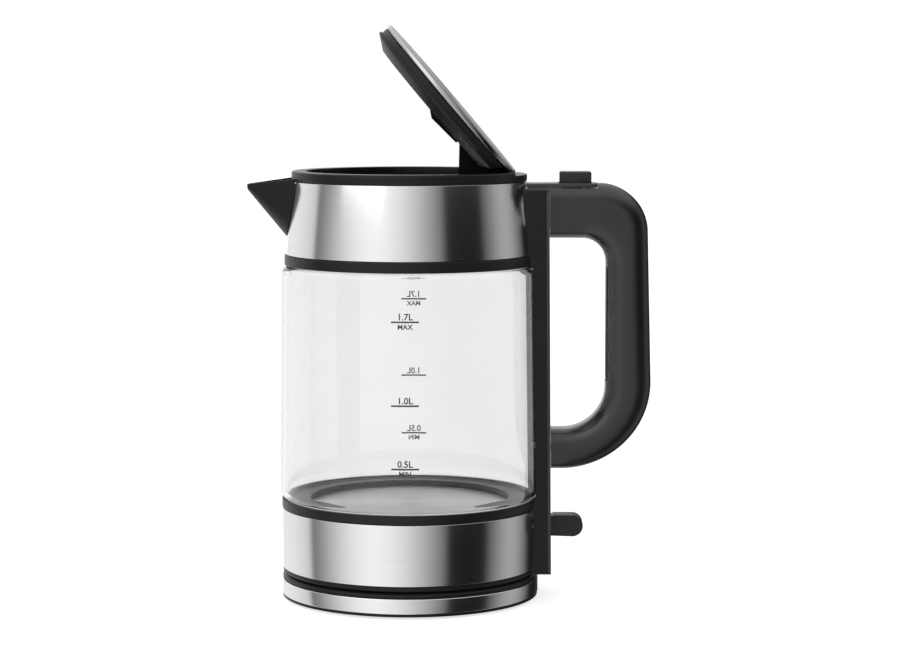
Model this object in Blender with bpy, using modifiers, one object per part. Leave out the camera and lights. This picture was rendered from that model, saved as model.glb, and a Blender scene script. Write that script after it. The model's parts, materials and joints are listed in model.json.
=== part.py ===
"""Electric kettle: glass jug on a round power base, with a hinged lid and a D-shaped handle.

Units are metres, +Z up. The jug's axis is the Z axis, the spout points to -X, the handle to +X,
and the feet stand on z = 0. The lid is modelled closed about its hinge, then opened.
"""
import math

import bmesh
import bpy

MM = 0.001
GAP = 0.3 * MM

# Power base
FOOT_R = 5.0 * MM
FOOT_RING_R = 56.0 * MM
FOOT_DROP = 1.2 * MM
FOOT_COUNT = 4
BASE_R = 72.0 * MM
BASE_FLOOR = 2.4 * MM
BASE_FLANGE_TOP = 2.5 * MM
BASE_BAND_TOP = 11.0 * MM
BASE_TOP = 14.2 * MM
BASE_WALL = 1.5 * MM
REAR_BLOCK_HALF = 20.0 * MM
CORD_HOLE_R = 3.0 * MM
POST_R = 17.3 * MM
POST_TOP = 21.2 * MM
POST_FLOOR = 3.9 * MM
CONTACT_WALL = 0.7 * MM
BLADE_R = 10.9 * MM
SCREW_RING_R = 44.0 * MM
SCREW_HEAD_R = 2.9 * MM
SCREW_SHANK_R = 1.4 * MM
BOSS_R = 3.6 * MM

# Jug
JUG_R = 71.7 * MM
SHEET = 0.8 * MM
LOWER_BAND_TOP = 51.0 * MM
LOWER_RING_TOP = 56.3 * MM
FLOOR_OPENING_R = 55.5 * MM
GLASS_WALL = 3.0 * MM
GLASS_BOTTOM_R = 73.0 * MM
GLASS_TOP_R = 71.4 * MM
GLASS_TOP = 186.0 * MM
UPPER_RING_R = 69.7 * MM
UPPER_RING_H = 5.7 * MM
COLLAR_BOTTOM_R = 68.9 * MM
COLLAR_TOP_R = 65.2 * MM
COLLAR_TOP = 233.0 * MM
RIM_TOP = 238.7 * MM
RIM_R = 65.5 * MM
LID_R = 56.0 * MM
RIM_OPENING_R = LID_R + 1.5 * MM
LINER_R = 62.6 * MM
LINER_WALL = 1.7 * MM

# Spout
SPOUT_TIP_X = -90.0 * MM
SPOUT_TIP_Z = 231.3 * MM
SPOUT_TIP_DEPTH = 3.4 * MM
SPOUT_TIP_HALF = 5.0 * MM
SPOUT_ROOT_X = -56.0 * MM
SPOUT_ROOT_HALF = 27.0 * MM
SPOUT_ROOT_Z = 235.6 * MM
SPOUT_KEEL_X = -67.5 * MM
SPOUT_KEEL_Z = 200.8 * MM
SPOUT_WALL = 1.8 * MM
POUR_HALF = 15.0 * MM
POUR_TOP_Z = 231.0 * MM
POUR_DEPTH = 25.0 * MM
FILTER_HALF = POUR_HALF + 1.0 * MM

# Lid, about its hinge axis
HINGE_X = LID_R - 2.6 * MM
HINGE_Z = 230.5 * MM
LID_OPEN_DEG = 49.5
LID_TOP = 9.2 * MM
LID_EDGE = 2.3 * MM
LID_REAR = -3.4 * MM
LID_BODY_R = LID_R - 0.8 * MM
LID_SIDE = 5.5 * MM
LID_TAPER_IN = 7.5 * MM
LID_TAPER_DROP = 4.2 * MM
LID_WALL = 2.0 * MM
PIN_R = 1.5 * MM
KNUCKLE_R = 3.8 * MM
KNUCKLE_HALF = 20.0 * MM
PIN_HALF = 24.5 * MM
CAM_R = 8.0 * MM
CAM_HALF = 4.5 * MM

# Spine and handle
SPINE_HALF = 21.0 * MM
SPINE_WALL = 2.2 * MM
SPINE_BOTTOM = 14.8 * MM
SPINE_TOP = 229.4 * MM
SPINE_X_BOTTOM = 79.2 * MM
SPINE_X_TOP = 77.6 * MM
HANDLE_HALF = 14.5 * MM
HANDLE_EDGE = 8.0 * MM
CAP_TOP = 232.2 * MM
CAP_THICK = 2.5 * MM
CAP_HALF = 11.2 * MM
ARM_TOP = CAP_TOP - 0.2 * MM
CAP_END_X = 104.0 * MM
GRIP_OUTER_TOP_X = 132.5 * MM
GRIP_OUTER_LOW_X = 134.6 * MM
GRIP_INNER_X = 109.2 * MM
ARM_UNDER_Z = 201.6 * MM
LOWER_ARM_TOP_Z = 95.0 * MM
HANDLE_LOW_Z = 72.5 * MM
GRIP_COVER_HALF = 8.7 * MM

# Lid release button and latch
BUTTON_X = (83.4 * MM, 101.0 * MM)
BUTTON_HALF = 7.9 * MM
BUTTON_TOP = 238.3 * MM
BUTTON_TRAVEL = 3.5 * MM
BOLT_TRAVEL = 2.6 * MM
BOLT_NOSE_X = HINGE_X + 7.0 * MM
BOLT_END_X = 95.3 * MM
BOLT_Z = (222.8 * MM, 226.0 * MM)
BOLT_HALF = 4.0 * MM

# Switch lever
LEVER_PIVOT_X = 74.0 * MM
LEVER_PIVOT_Z = 40.0 * MM
LEVER_TIP_X = 97.2 * MM
LEVER_HALF = 6.0 * MM

ROUND = 32
SMALL_ROUND = 12

for old in list(bpy.data.objects):
    bpy.data.objects.remove(old, do_unlink=True)

parts = bpy.data.collections.new("electric_kettle")
cutters = bpy.data.collections.new("cutters")
bpy.context.scene.collection.children.link(parts)
bpy.context.scene.collection.children.link(cutters)


def make_material(name, colour, roughness, metallic=0.0, alpha=1.0):
    """Return a Principled material with one colour."""
    material = bpy.data.materials.new(name)
    material.use_nodes = True
    shader = material.node_tree.nodes["Principled BSDF"]
    shader.inputs["Base Color"].default_value = (*colour, 1.0)
    shader.inputs["Roughness"].default_value = roughness
    shader.inputs["Metallic"].default_value = metallic
    shader.inputs["Alpha"].default_value = alpha
    return material


STEEL = make_material("brushed_steel", (0.62, 0.62, 0.62), 0.28, 1.0)
BLACK = make_material("black_plastic", (0.025, 0.025, 0.025), 0.42)
GLASS = make_material("clear_glass", (0.92, 0.94, 0.95), 0.03, 0.0, 0.25)
RUBBER = make_material("grey_silicone", (0.32, 0.32, 0.32), 0.7)
BRASS = make_material("brass", (0.72, 0.53, 0.25), 0.3, 1.0)
ALUMINIUM = make_material("aluminium", (0.7, 0.7, 0.72), 0.4, 1.0)
CREAM = make_material("cream_plastic", (0.75, 0.72, 0.62), 0.5)
SCREW_STEEL = make_material("screw_steel", (0.45, 0.45, 0.47), 0.35, 1.0)


def add_object(name, mesh, material=None):
    """Link a mesh as a part, or as a hidden cutter when it has no material."""
    item = bpy.data.objects.new(name, mesh)
    if material is None:
        cutters.objects.link(item)
        item.hide_render = True
        item.display_type = "WIRE"
    else:
        parts.objects.link(item)
        mesh.materials.append(material)
    return item


def turned(name, profile, material=None, steps=ROUND):
    """Turn a profile of (radius, z) about Z: a closed ring, or a solid that starts on the axis."""
    solid = profile[0][0] == 0.0
    mesh = bpy.data.meshes.new(name)
    edges = [(i, i + 1) for i in range(len(profile) - 1)]
    if not solid:
        edges.append((len(profile) - 1, 0))
    mesh.from_pydata([(r, 0.0, z) for r, z in profile], edges, [])
    item = add_object(name, mesh, material)
    turn = item.modifiers.new("turn", "SCREW")
    turn.steps = steps
    turn.render_steps = steps
    turn.use_merge_vertices = True
    turn.merge_threshold = 0.00001
    return item


def box(name, low, high, material=None):
    """Make a box between two corners."""
    mesh = bpy.data.meshes.new(name)
    shape = bmesh.new()
    bmesh.ops.create_cube(shape, size=1.0)
    for vertex in shape.verts:
        for axis in range(3):
            middle = (low[axis] + high[axis]) / 2
            vertex.co[axis] = middle + vertex.co[axis] * (high[axis] - low[axis])
    shape.to_mesh(mesh)
    shape.free()
    return add_object(name, mesh, material)


def rod(name, start, length, radius, axis="Z", material=None, steps=SMALL_ROUND):
    """Make a cylinder that starts at a point and runs along +X, +Y or +Z."""
    mesh = bpy.data.meshes.new(name)
    shape = bmesh.new()
    bmesh.ops.create_cone(shape, cap_ends=True, segments=steps, radius1=radius, radius2=radius,
                          depth=length)
    bmesh.ops.translate(shape, verts=shape.verts, vec=(0, 0, length / 2))
    shape.to_mesh(mesh)
    shape.free()
    item = add_object(name, mesh, material)
    item.location = start
    item.rotation_euler = {"X": (0, math.pi / 2, 0), "Y": (-math.pi / 2, 0, 0), "Z": (0, 0, 0)}[axis]
    return item


def outline_mesh(name, outline, half, bevel=0.0, resolution=2):
    """Extrude a flat outline by half on both sides of its plane, and weld its caps."""
    curve = bpy.data.curves.new(name, "CURVE")
    curve.dimensions = "2D"
    curve.fill_mode = "BOTH"
    curve.extrude = half - bevel
    curve.bevel_depth = bevel
    curve.offset = -bevel
    curve.bevel_resolution = resolution
    spline = curve.splines.new("POLY")
    spline.points.add(len(outline) - 1)
    for point, (u, v) in zip(spline.points, outline):
        point.co = (u, v, 0.0, 1.0)
    spline.use_cyclic_u = True
    guide = bpy.data.objects.new(name + "_guide", curve)
    bpy.context.scene.collection.objects.link(guide)
    bpy.context.view_layer.update()
    mesh = bpy.data.meshes.new_from_object(guide.evaluated_get(bpy.context.evaluated_depsgraph_get()))
    bpy.data.objects.remove(guide, do_unlink=True)
    shape = bmesh.new()
    shape.from_mesh(mesh)
    bmesh.ops.remove_doubles(shape, verts=shape.verts, dist=0.00001)
    bmesh.ops.recalc_face_normals(shape, faces=shape.faces)
    shape.to_mesh(mesh)
    shape.free()
    mesh.materials.clear()
    return mesh


def side_plate(name, outline, half, material=None, bevel=0.0, resolution=2):
    """Make a solid from an outline in X and Z, centred on the plane y = 0."""
    item = add_object(name, outline_mesh(name, outline, half, bevel, resolution), material)
    item.rotation_euler = (math.pi / 2, 0, 0)
    return item


def wire(name, points, radius, material, resolution=1):
    """Make a round wire or tube along points."""
    curve = bpy.data.curves.new(name, "CURVE")
    curve.dimensions = "3D"
    curve.bevel_depth = radius
    curve.bevel_resolution = resolution
    curve.use_fill_caps = True
    spline = curve.splines.new("POLY")
    spline.points.add(len(points) - 1)
    for point, place in zip(spline.points, points):
        point.co = (*place, 1.0)
    item = bpy.data.objects.new(name, curve)
    parts.objects.link(item)
    curve.materials.append(material)
    return item


def arc(centre_u, centre_v, radius_u, radius_v, start_deg, end_deg, count):
    """Return points on an elliptical arc, both ends included."""
    points = []
    for i in range(count):
        angle = math.radians(start_deg + (end_deg - start_deg) * i / (count - 1))
        points.append((centre_u + radius_u * math.cos(angle), centre_v + radius_v * math.sin(angle)))
    return points


def loft(name, rings, material=None):
    """Skin rings that have equally many points, with flat caps."""
    shape = bmesh.new()
    rows = [[shape.verts.new(point) for point in ring] for ring in rings]
    count = len(rings[0])
    for lower, upper in zip(rows, rows[1:]):
        for i in range(count):
            j = (i + 1) % count
            shape.faces.new((lower[i], lower[j], upper[j], upper[i]))
    shape.faces.new(rows[0][::-1])
    shape.faces.new(rows[-1])
    bmesh.ops.recalc_face_normals(shape, faces=shape.faces)
    mesh = bpy.data.meshes.new(name)
    shape.to_mesh(mesh)
    shape.free()
    return add_object(name, mesh, material)


def cut(item, *tools):
    """Cut tools out of a part."""
    for tool in tools:
        change = item.modifiers.new("cut", "BOOLEAN")
        change.object = tool
        change.operation = "DIFFERENCE"


def keep(item, tool):
    """Keep only what lies inside a tool."""
    change = item.modifiers.new("keep", "BOOLEAN")
    change.object = tool
    change.operation = "INTERSECT"


def merge(item, *tools):
    """Join tools to a part as one solid."""
    for tool in tools:
        change = item.modifiers.new("merge", "BOOLEAN")
        change.object = tool
        change.operation = "UNION"


def around(count, radius, start_deg=0.0):
    """Return evenly spaced (x, y) places on a circle."""
    step = 360.0 / count
    angles = [math.radians(start_deg + step * i) for i in range(count)]
    return [(radius * math.cos(angle), radius * math.sin(angle)) for angle in angles]


def body_envelope(name, clearance):
    """Return a cutter with the jug's outer shape, grown by a clearance."""
    c = clearance
    return turned(name, [
        (0.0, 260 * MM),
        (COLLAR_TOP_R + c, 260 * MM),
        (COLLAR_TOP_R + c, COLLAR_TOP),
        (COLLAR_BOTTOM_R + c, GLASS_TOP + 6.7 * MM),
        (UPPER_RING_R + c, GLASS_TOP + 6.6 * MM),
        (UPPER_RING_R + c, GLASS_TOP + 0.4 * MM),
        (GLASS_TOP_R + c, GLASS_TOP + 0.3 * MM),
        (GLASS_BOTTOM_R + c, LOWER_RING_TOP),
        (JUG_R + c, LOWER_RING_TOP - 0.2 * MM),
        (JUG_R + c, 0.0),
        (0.0, 0.0),
    ])


def screw(name, x, y, seat_z, length):
    """Make an upright screw with its head below, at seat_z."""
    head_h = 1.4 * MM
    made = turned(name, [
        (0.0, seat_z + length),
        (SCREW_SHANK_R, seat_z + length),
        (SCREW_SHANK_R, seat_z),
        (SCREW_HEAD_R, seat_z),
        (SCREW_HEAD_R, seat_z - head_h),
        (0.0, seat_z - head_h),
    ], SCREW_STEEL, SMALL_ROUND)
    made.location = (x, y, 0.0)
    return made


def power_base():
    """Round base: floor pan, steel band, top cover, connector post, contacts, feet and screws."""
    floor_top = FOOT_DROP + BASE_FLOOR
    wall_out = BASE_R - BASE_WALL - GAP
    wall_in = wall_out - 1.8 * MM
    pan = turned("base_bottom_cover", [
        (0.0, floor_top),
        (wall_in, floor_top),
        (wall_in, 9.0 * MM),
        (wall_out, 9.0 * MM),
        (wall_out, BASE_FLANGE_TOP),
        (JUG_R, BASE_FLANGE_TOP),
        (JUG_R, FOOT_DROP),
        (0.0, FOOT_DROP),
    ], BLACK)
    half = REAR_BLOCK_HALF + GAP
    cut(pan, box("pan_rear_cut", (60 * MM, -half, floor_top + 0.01 * MM), (80 * MM, half, 12 * MM)))
    foot_top = FOOT_DROP + 0.9 * MM
    for i, (x, y) in enumerate(around(FOOT_COUNT, FOOT_RING_R, 45)):
        cut(pan, rod(f"foot_pocket_{i + 1}", (x, y, 0.0), foot_top + GAP, FOOT_R + GAP))
        rod(f"foot_{i + 1}", (x, y, 0.0), foot_top, FOOT_R, material=RUBBER)

    band = turned("base_steel_band", [
        (BASE_R - BASE_WALL, BASE_BAND_TOP),
        (BASE_R, BASE_BAND_TOP),
        (BASE_R, BASE_FLANGE_TOP + GAP),
        (BASE_R - BASE_WALL, BASE_FLANGE_TOP + GAP),
    ], STEEL)
    cut(band, box("band_rear_cut", (60 * MM, -half, 0), (80 * MM, half, 20 * MM)))

    block = turned("base_rear_block", [
        (66 * MM, BASE_BAND_TOP),
        (BASE_R, BASE_BAND_TOP),
        (BASE_R, BASE_FLANGE_TOP + GAP),
        (wall_out + GAP, BASE_FLANGE_TOP + GAP),
        (wall_out + GAP, floor_top + GAP),
        (66 * MM, floor_top + GAP),
    ], BLACK)
    keep(block, box("rear_block_keep", (50 * MM, -REAR_BLOCK_HALF, 0),
                    (80 * MM, REAR_BLOCK_HALF, 20 * MM)))
    middle_z = (BASE_BAND_TOP + BASE_FLANGE_TOP) / 2 + 0.5 * MM
    cut(block, rod("cord_hole", (60 * MM, 0, middle_z), 20 * MM, CORD_HOLE_R, "X"))

    cover_under = BASE_BAND_TOP + GAP
    cover = turned("base_top_cover", [
        (POST_R + GAP, BASE_TOP),
        (BASE_R - 2.4 * MM, BASE_TOP),
        (BASE_R - 0.6 * MM, BASE_TOP - 1.3 * MM),
        (BASE_R - 0.6 * MM, cover_under),
        (66 * MM, cover_under),
        (65 * MM, cover_under + 0.9 * MM),
        (POST_R + GAP, cover_under + 0.9 * MM),
    ], BLACK)
    head_top = FOOT_DROP + 1.7 * MM
    for i, (x, y) in enumerate(around(3, SCREW_RING_R, 60)):
        boss_z = floor_top + GAP
        merge(cover, rod(f"boss_{i + 1}", (x, y, boss_z), BASE_TOP - 1 * MM - boss_z, BOSS_R))
        cut(cover, rod(f"boss_hole_{i + 1}", (x, y, 0), BASE_TOP - 3 * MM, SCREW_SHANK_R + GAP))
        cut(pan, rod(f"head_pocket_{i + 1}", (x, y, 0), head_top + GAP, SCREW_HEAD_R + GAP))
        cut(pan, rod(f"shank_hole_{i + 1}", (x, y, 0), 8 * MM, SCREW_SHANK_R + GAP))
        screw(f"base_screw_{i + 1}", x, y, head_top, 7 * MM)

    groove_in = BLADE_R - 2.3 * MM
    groove_out = BLADE_R + 1.3 * MM
    hole_r = 2.6 * MM
    turned("base_connector", [
        (0.0, 8 * MM),
        (hole_r, 8 * MM),
        (hole_r, POST_TOP),
        (groove_in, POST_TOP),
        (groove_in, 12 * MM),
        (groove_out, 12 * MM),
        (groove_out, POST_TOP),
        (POST_R - 1 * MM, POST_TOP),
        (POST_R, POST_TOP - 1 * MM),
        (POST_R, BASE_TOP - 2.4 * MM),
        (POST_R + 2.7 * MM, BASE_TOP - 2.4 * MM),
        (POST_R + 2.7 * MM, BASE_TOP - 4.4 * MM),
        (POST_R, BASE_TOP - 4.4 * MM),
        (POST_R, POST_FLOOR),
        (0.0, POST_FLOOR),
    ], BLACK, 24)
    for name, inner, low, high in (
            ("base_contact_outer", groove_out - GAP - CONTACT_WALL, 13 * MM, 18 * MM),
            ("base_contact_inner", groove_in + GAP, 13 * MM, 18 * MM),
            ("base_contact_earth", hole_r - GAP - 0.5 * MM, 8.5 * MM, 16 * MM)):
        wall = 0.5 * MM if name.endswith("earth") else CONTACT_WALL
        turned(name, [(inner, high), (inner + wall, high), (inner + wall, low), (inner, low)],
               BRASS, 20)


def jug_floor():
    """Lower end of the jug: cover, connector, steel band, ring, heating plate and control."""
    bottom = BASE_TOP + GAP
    socket_r = POST_R + 0.5 * MM
    band_in = JUG_R - SHEET
    cover = turned("jug_bottom_cover", [
        (band_in - 2.1 * MM, 23 * MM),
        (band_in - 0.5 * MM, 23 * MM),
        (band_in - 0.5 * MM, 17.5 * MM),
        (JUG_R - 0.4 * MM, 17.5 * MM),
        (JUG_R - 0.4 * MM, bottom + 0.9 * MM),
        (JUG_R - 1.6 * MM, bottom),
        (socket_r + 3.6 * MM, bottom),
        (socket_r + 3.6 * MM, 16.3 * MM),
        (band_in - 2.1 * MM, 16.3 * MM),
    ], BLACK)
    connector = turned("jug_connector", [
        (0.0, 27 * MM),
        (socket_r + 3.2 * MM, 27 * MM),
        (socket_r + 3.2 * MM, bottom + GAP),
        (socket_r, bottom + GAP),
        (socket_r, POST_TOP + 0.6 * MM),
        (0.0, POST_TOP + 0.6 * MM),
    ], BLACK, 24)
    root_z = POST_TOP + 0.6 * MM - GAP
    rod("jug_centre_pin", (0, 0, 10 * MM), root_z - 10 * MM, 1.3 * MM, material=BRASS)
    turned("jug_ring_contact", [
        (BLADE_R - 0.9 * MM, root_z), (BLADE_R, root_z),
        (BLADE_R, 13.3 * MM), (BLADE_R - 0.9 * MM, 13.3 * MM),
    ], BRASS, 20)

    band = turned("lower_steel_band", [
        (band_in, LOWER_BAND_TOP), (JUG_R, LOWER_BAND_TOP),
        (JUG_R, 17.8 * MM), (band_in, 17.8 * MM),
    ], STEEL)
    slot_half = LEVER_HALF + 1 * MM
    cut(band, box("band_lever_slot", (60 * MM, -slot_half, 34 * MM), (80 * MM, slot_half, 47 * MM)))

    seat_z = LOWER_RING_TOP - 2.0 * MM
    ring = turned("lower_ring", [
        (FLOOR_OPENING_R, LOWER_RING_TOP),
        (66.9 * MM, LOWER_RING_TOP),
        (66.9 * MM, seat_z),
        (70.9 * MM, seat_z),
        (70.9 * MM, LOWER_RING_TOP),
        (JUG_R, LOWER_RING_TOP),
        (JUG_R, LOWER_BAND_TOP + GAP),
        (band_in - GAP, LOWER_BAND_TOP + GAP),
        (band_in - GAP, 48.5 * MM),
        (69.0 * MM, 48.5 * MM),
        (69.0 * MM, LOWER_BAND_TOP + GAP),
        (66.0 * MM, LOWER_BAND_TOP + GAP),
        (66.0 * MM, 53.6 * MM),
        (FLOOR_OPENING_R, 53.6 * MM),
    ], BLACK)
    turned("lower_glass_seal", [
        (67.2 * MM, LOWER_RING_TOP - GAP), (70.6 * MM, LOWER_RING_TOP - GAP),
        (70.6 * MM, seat_z + GAP), (67.2 * MM, seat_z + GAP),
    ], RUBBER)
    turned("heating_plate", [
        (0.0, 53.3 * MM), (65.7 * MM, 53.3 * MM), (65.7 * MM, 51.3 * MM),
        (64.8 * MM, 51.3 * MM), (64.8 * MM, 52.3 * MM), (0.0, 52.3 * MM),
    ], STEEL)
    turned("heat_spreader", [
        (0.0, 52.0 * MM), (50 * MM, 52.0 * MM), (50 * MM, 49.5 * MM), (0.0, 49.5 * MM),
    ], ALUMINIUM, 24)
    tube_r = 3.3 * MM
    element_z = 49.5 * MM - GAP - tube_r
    bend = arc(0, 0, 38 * MM, 38 * MM, 35, 325, 26)
    points = [(x, y, element_z) for x, y in bend]
    first, last = points[0], points[-1]
    points = [(first[0], first[1], element_z - 9 * MM)] + points
    points.append((last[0], last[1], element_z - 9 * MM))
    wire("heating_element", points, tube_r, SCREW_STEEL)

    control = turned("control_unit", [
        (0.0, 44 * MM), (20 * MM, 44 * MM), (20 * MM, 27.3 * MM), (0.0, 27.3 * MM),
    ], CREAM, 32)
    merge(control, box("trip_housing", (15 * MM, -6 * MM, 29 * MM), (50 * MM, 6 * MM, 35 * MM)))
    for i, (x, y) in enumerate(around(3, 15 * MM)):
        merge(control, rod(f"control_post_{i + 1}", (x, y, 40 * MM), 9.2 * MM, 2 * MM, steps=12))
    turned("bimetal_disc", [
        (0.0, 46.3 * MM), (9 * MM, 45.0 * MM), (9 * MM, 44.3 * MM), (0.0, 45.6 * MM),
    ], BRASS, 24)

    for i, (x, y) in enumerate(around(3, SCREW_RING_R, 60)):
        merge(cover, rod(f"cover_boss_{i + 1}", (x, y, 16 * MM), 14 * MM, BOSS_R))
        cut(cover, rod(f"cover_shank_{i + 1}", (x, y, 12 * MM), 16 * MM, SCREW_SHANK_R + GAP))
        cut(cover, rod(f"cover_head_{i + 1}", (x, y, 12 * MM), 4.4 * MM, SCREW_HEAD_R + GAP))
        screw(f"jug_screw_{i + 1}", x, y, 16.2 * MM, 9 * MM)


def jug_walls():
    """Glass body with its seals, the upper ring and the steel collar."""
    wall = GLASS_WALL
    turned("glass_body", [
        (GLASS_TOP_R - 2.4 * MM - wall, GLASS_TOP),
        (GLASS_TOP_R - 2.4 * MM, GLASS_TOP),
        (GLASS_TOP_R, GLASS_TOP - 2.5 * MM),
        (GLASS_BOTTOM_R, LOWER_RING_TOP + 3.2 * MM),
        (GLASS_BOTTOM_R - 2.6 * MM, LOWER_RING_TOP),
        (GLASS_BOTTOM_R - 2.6 * MM - wall, LOWER_RING_TOP),
        (GLASS_BOTTOM_R - wall, LOWER_RING_TOP + 3.6 * MM),
        (GLASS_TOP_R - wall, GLASS_TOP - 2.9 * MM),
    ], GLASS)
    ring_low = GLASS_TOP + 0.6 * MM
    seal_in = GLASS_TOP_R - 5.5 * MM
    seal_out = GLASS_TOP_R - 3.0 * MM
    ring_high = ring_low + UPPER_RING_H
    turned("upper_glass_seal", [
        (seal_in, ring_low + 1.3 * MM), (seal_out, ring_low + 1.3 * MM),
        (seal_out, ring_low - GAP), (seal_in, ring_low - GAP),
    ], RUBBER)
    turned("upper_ring", [
        (LINER_R - LINER_WALL, ring_high),
        (UPPER_RING_R, ring_high),
        (UPPER_RING_R, ring_low),
        (seal_out + GAP, ring_low),
        (seal_out + GAP, ring_low + 1.6 * MM),
        (seal_in - GAP, ring_low + 1.6 * MM),
        (seal_in - GAP, ring_low),
        (LINER_R - LINER_WALL, ring_low),
    ], BLACK)
    collar = turned("upper_steel_collar", [
        (COLLAR_TOP_R - SHEET, COLLAR_TOP),
        (COLLAR_TOP_R, COLLAR_TOP),
        (COLLAR_BOTTOM_R, ring_high + GAP),
        (COLLAR_BOTTOM_R - SHEET, ring_high + GAP),
    ], STEEL)
    cut(collar, pour_window("collar_pour_window", -50 * MM))
    slot = BOLT_HALF + 0.8 * MM
    cut(collar, box("collar_bolt_slot", (50 * MM, -slot, BOLT_Z[0] - 0.8 * MM),
                    (80 * MM, slot, BOLT_Z[1] + 0.8 * MM)))


def pour_window(name, inner_x):
    """Return the cutter of the pour window, which lies within the spout's own outline."""
    bowl = arc(0, POUR_TOP_Z, POUR_HALF, POUR_DEPTH, 180, 360, 13)
    return loft(name, [[(x, y, z) for y, z in bowl] for x in (-80 * MM, inner_x)])


def top_rim():
    """Rim moulding with its liner, hinge ears, pour window, spout and filter."""
    low = COLLAR_TOP + GAP
    liner_low = GLASS_TOP + 0.6 * MM + UPPER_RING_H + GAP
    rim = turned("top_rim", [
        (RIM_OPENING_R, RIM_TOP),
        (RIM_R - 0.7 * MM, RIM_TOP),
        (RIM_R, RIM_TOP - 0.7 * MM),
        (RIM_R, low),
        (LINER_R, low),
        (LINER_R, liner_low),
        (LINER_R - LINER_WALL, liner_low),
        (LINER_R - LINER_WALL, low),
        (RIM_OPENING_R, low),
    ], BLACK)
    ear_in = PIN_HALF - 3.0 * MM
    ear_out = PIN_HALF + 1.5 * MM
    for side in (-1, 1):
        near, far = sorted((side * ear_in, side * ear_out))
        merge(rim, box(f"hinge_ear_{side}", (HINGE_X - 4.9 * MM, near, HINGE_Z - 5.5 * MM),
                       (HINGE_X + 4.6 * MM, far, low + 2 * MM)))
    cut(rim, rod("pin_bore", (HINGE_X, -PIN_HALF - GAP, HINGE_Z), 2 * (PIN_HALF + GAP),
                 PIN_R + GAP, "Y"))
    cut(rim, box("rear_recess", (HINGE_X - 6.4 * MM, -28.5 * MM, RIM_TOP - 1.8 * MM),
                 (70 * MM, 28.5 * MM, RIM_TOP + 5 * MM)))
    cut(rim, box("hinge_notch", (HINGE_X - 8.4 * MM, -ear_in + GAP, HINGE_Z - 6.5 * MM),
                 (HINGE_X + 5.2 * MM, ear_in - GAP, RIM_TOP + 5 * MM)))
    cut(rim, pour_window("rim_pour_window", -40 * MM))
    slot = BOLT_HALF + 1.5 * MM
    cut(rim, box("rim_bolt_window", (50 * MM, -slot, 219 * MM), (64 * MM, slot, low - 0.01 * MM)))
    rod("hinge_pin", (HINGE_X, -PIN_HALF, HINGE_Z), 2 * PIN_HALF, PIN_R, "Y", SCREW_STEEL)

    rings = []
    steps = 7
    for i in range(steps):
        share = i / (steps - 1)
        x = SPOUT_ROOT_X + (SPOUT_TIP_X - SPOUT_ROOT_X) * share
        top = SPOUT_ROOT_Z + (SPOUT_TIP_Z - SPOUT_ROOT_Z) * share
        slope = (SPOUT_TIP_Z - SPOUT_TIP_DEPTH - SPOUT_KEEL_Z) / (SPOUT_TIP_X - SPOUT_KEEL_X)
        depth = top - (SPOUT_KEEL_Z + slope * (x - SPOUT_KEEL_X))
        half = SPOUT_ROOT_HALF + (SPOUT_TIP_HALF - SPOUT_ROOT_HALF) * share ** 0.85
        outer = arc(0, top, half, depth, 180, 360, 13)
        inner = arc(0, top, half - SPOUT_WALL, depth - SPOUT_WALL, 360, 180, 13)
        rings.append([(x, y, z) for y, z in outer + inner])
    spout = loft("spout", rings, BLACK)
    cut(spout, body_envelope("spout_seat", GAP))
    cut(spout, box("spout_top_cut", (-67 * MM, -40 * MM, COLLAR_TOP - 0.3 * MM),
                   (-40 * MM, 40 * MM, 245 * MM)))
    lower_rim_cut = turned("spout_rim_cut", [
        (0.0, 250 * MM), (RIM_R + GAP, 250 * MM), (RIM_R + GAP, 232.4 * MM), (0.0, 232.4 * MM)])
    cut(spout, lower_rim_cut)

    frame = box("spout_filter", (-57.2 * MM, -FILTER_HALF - 1 * MM, 202.5 * MM),
                (-56.0 * MM, FILTER_HALF + 1 * MM, 228.5 * MM), STEEL)
    columns, rows = 5, 4
    pitch_y = 2 * FILTER_HALF / columns
    pitch_z = 22 * MM / rows
    for column in range(columns):
        for row in range(rows):
            y = -FILTER_HALF + pitch_y * (column + 0.5)
            z = 204.5 * MM + pitch_z * (row + 0.5)
            half_y, half_z = pitch_y / 2 - 0.5 * MM, pitch_z / 2 - 0.5 * MM
            cut(frame, box(f"mesh_hole_{column}_{row}", (-60 * MM, y - half_y, z - half_z),
                           (-50 * MM, y + half_y, z + half_z)))


def d_ring(radius, chord_x, z):
    """Return a D-shaped ring about the lid's centre, with its flat side at chord_x."""
    centre_x = -HINGE_X
    turn = math.degrees(math.acos((chord_x - centre_x) / radius))
    points = arc(centre_x, 0, radius, radius, turn, 360 - turn, 33)
    return [(x, y, z) for x, y in points]


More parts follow.
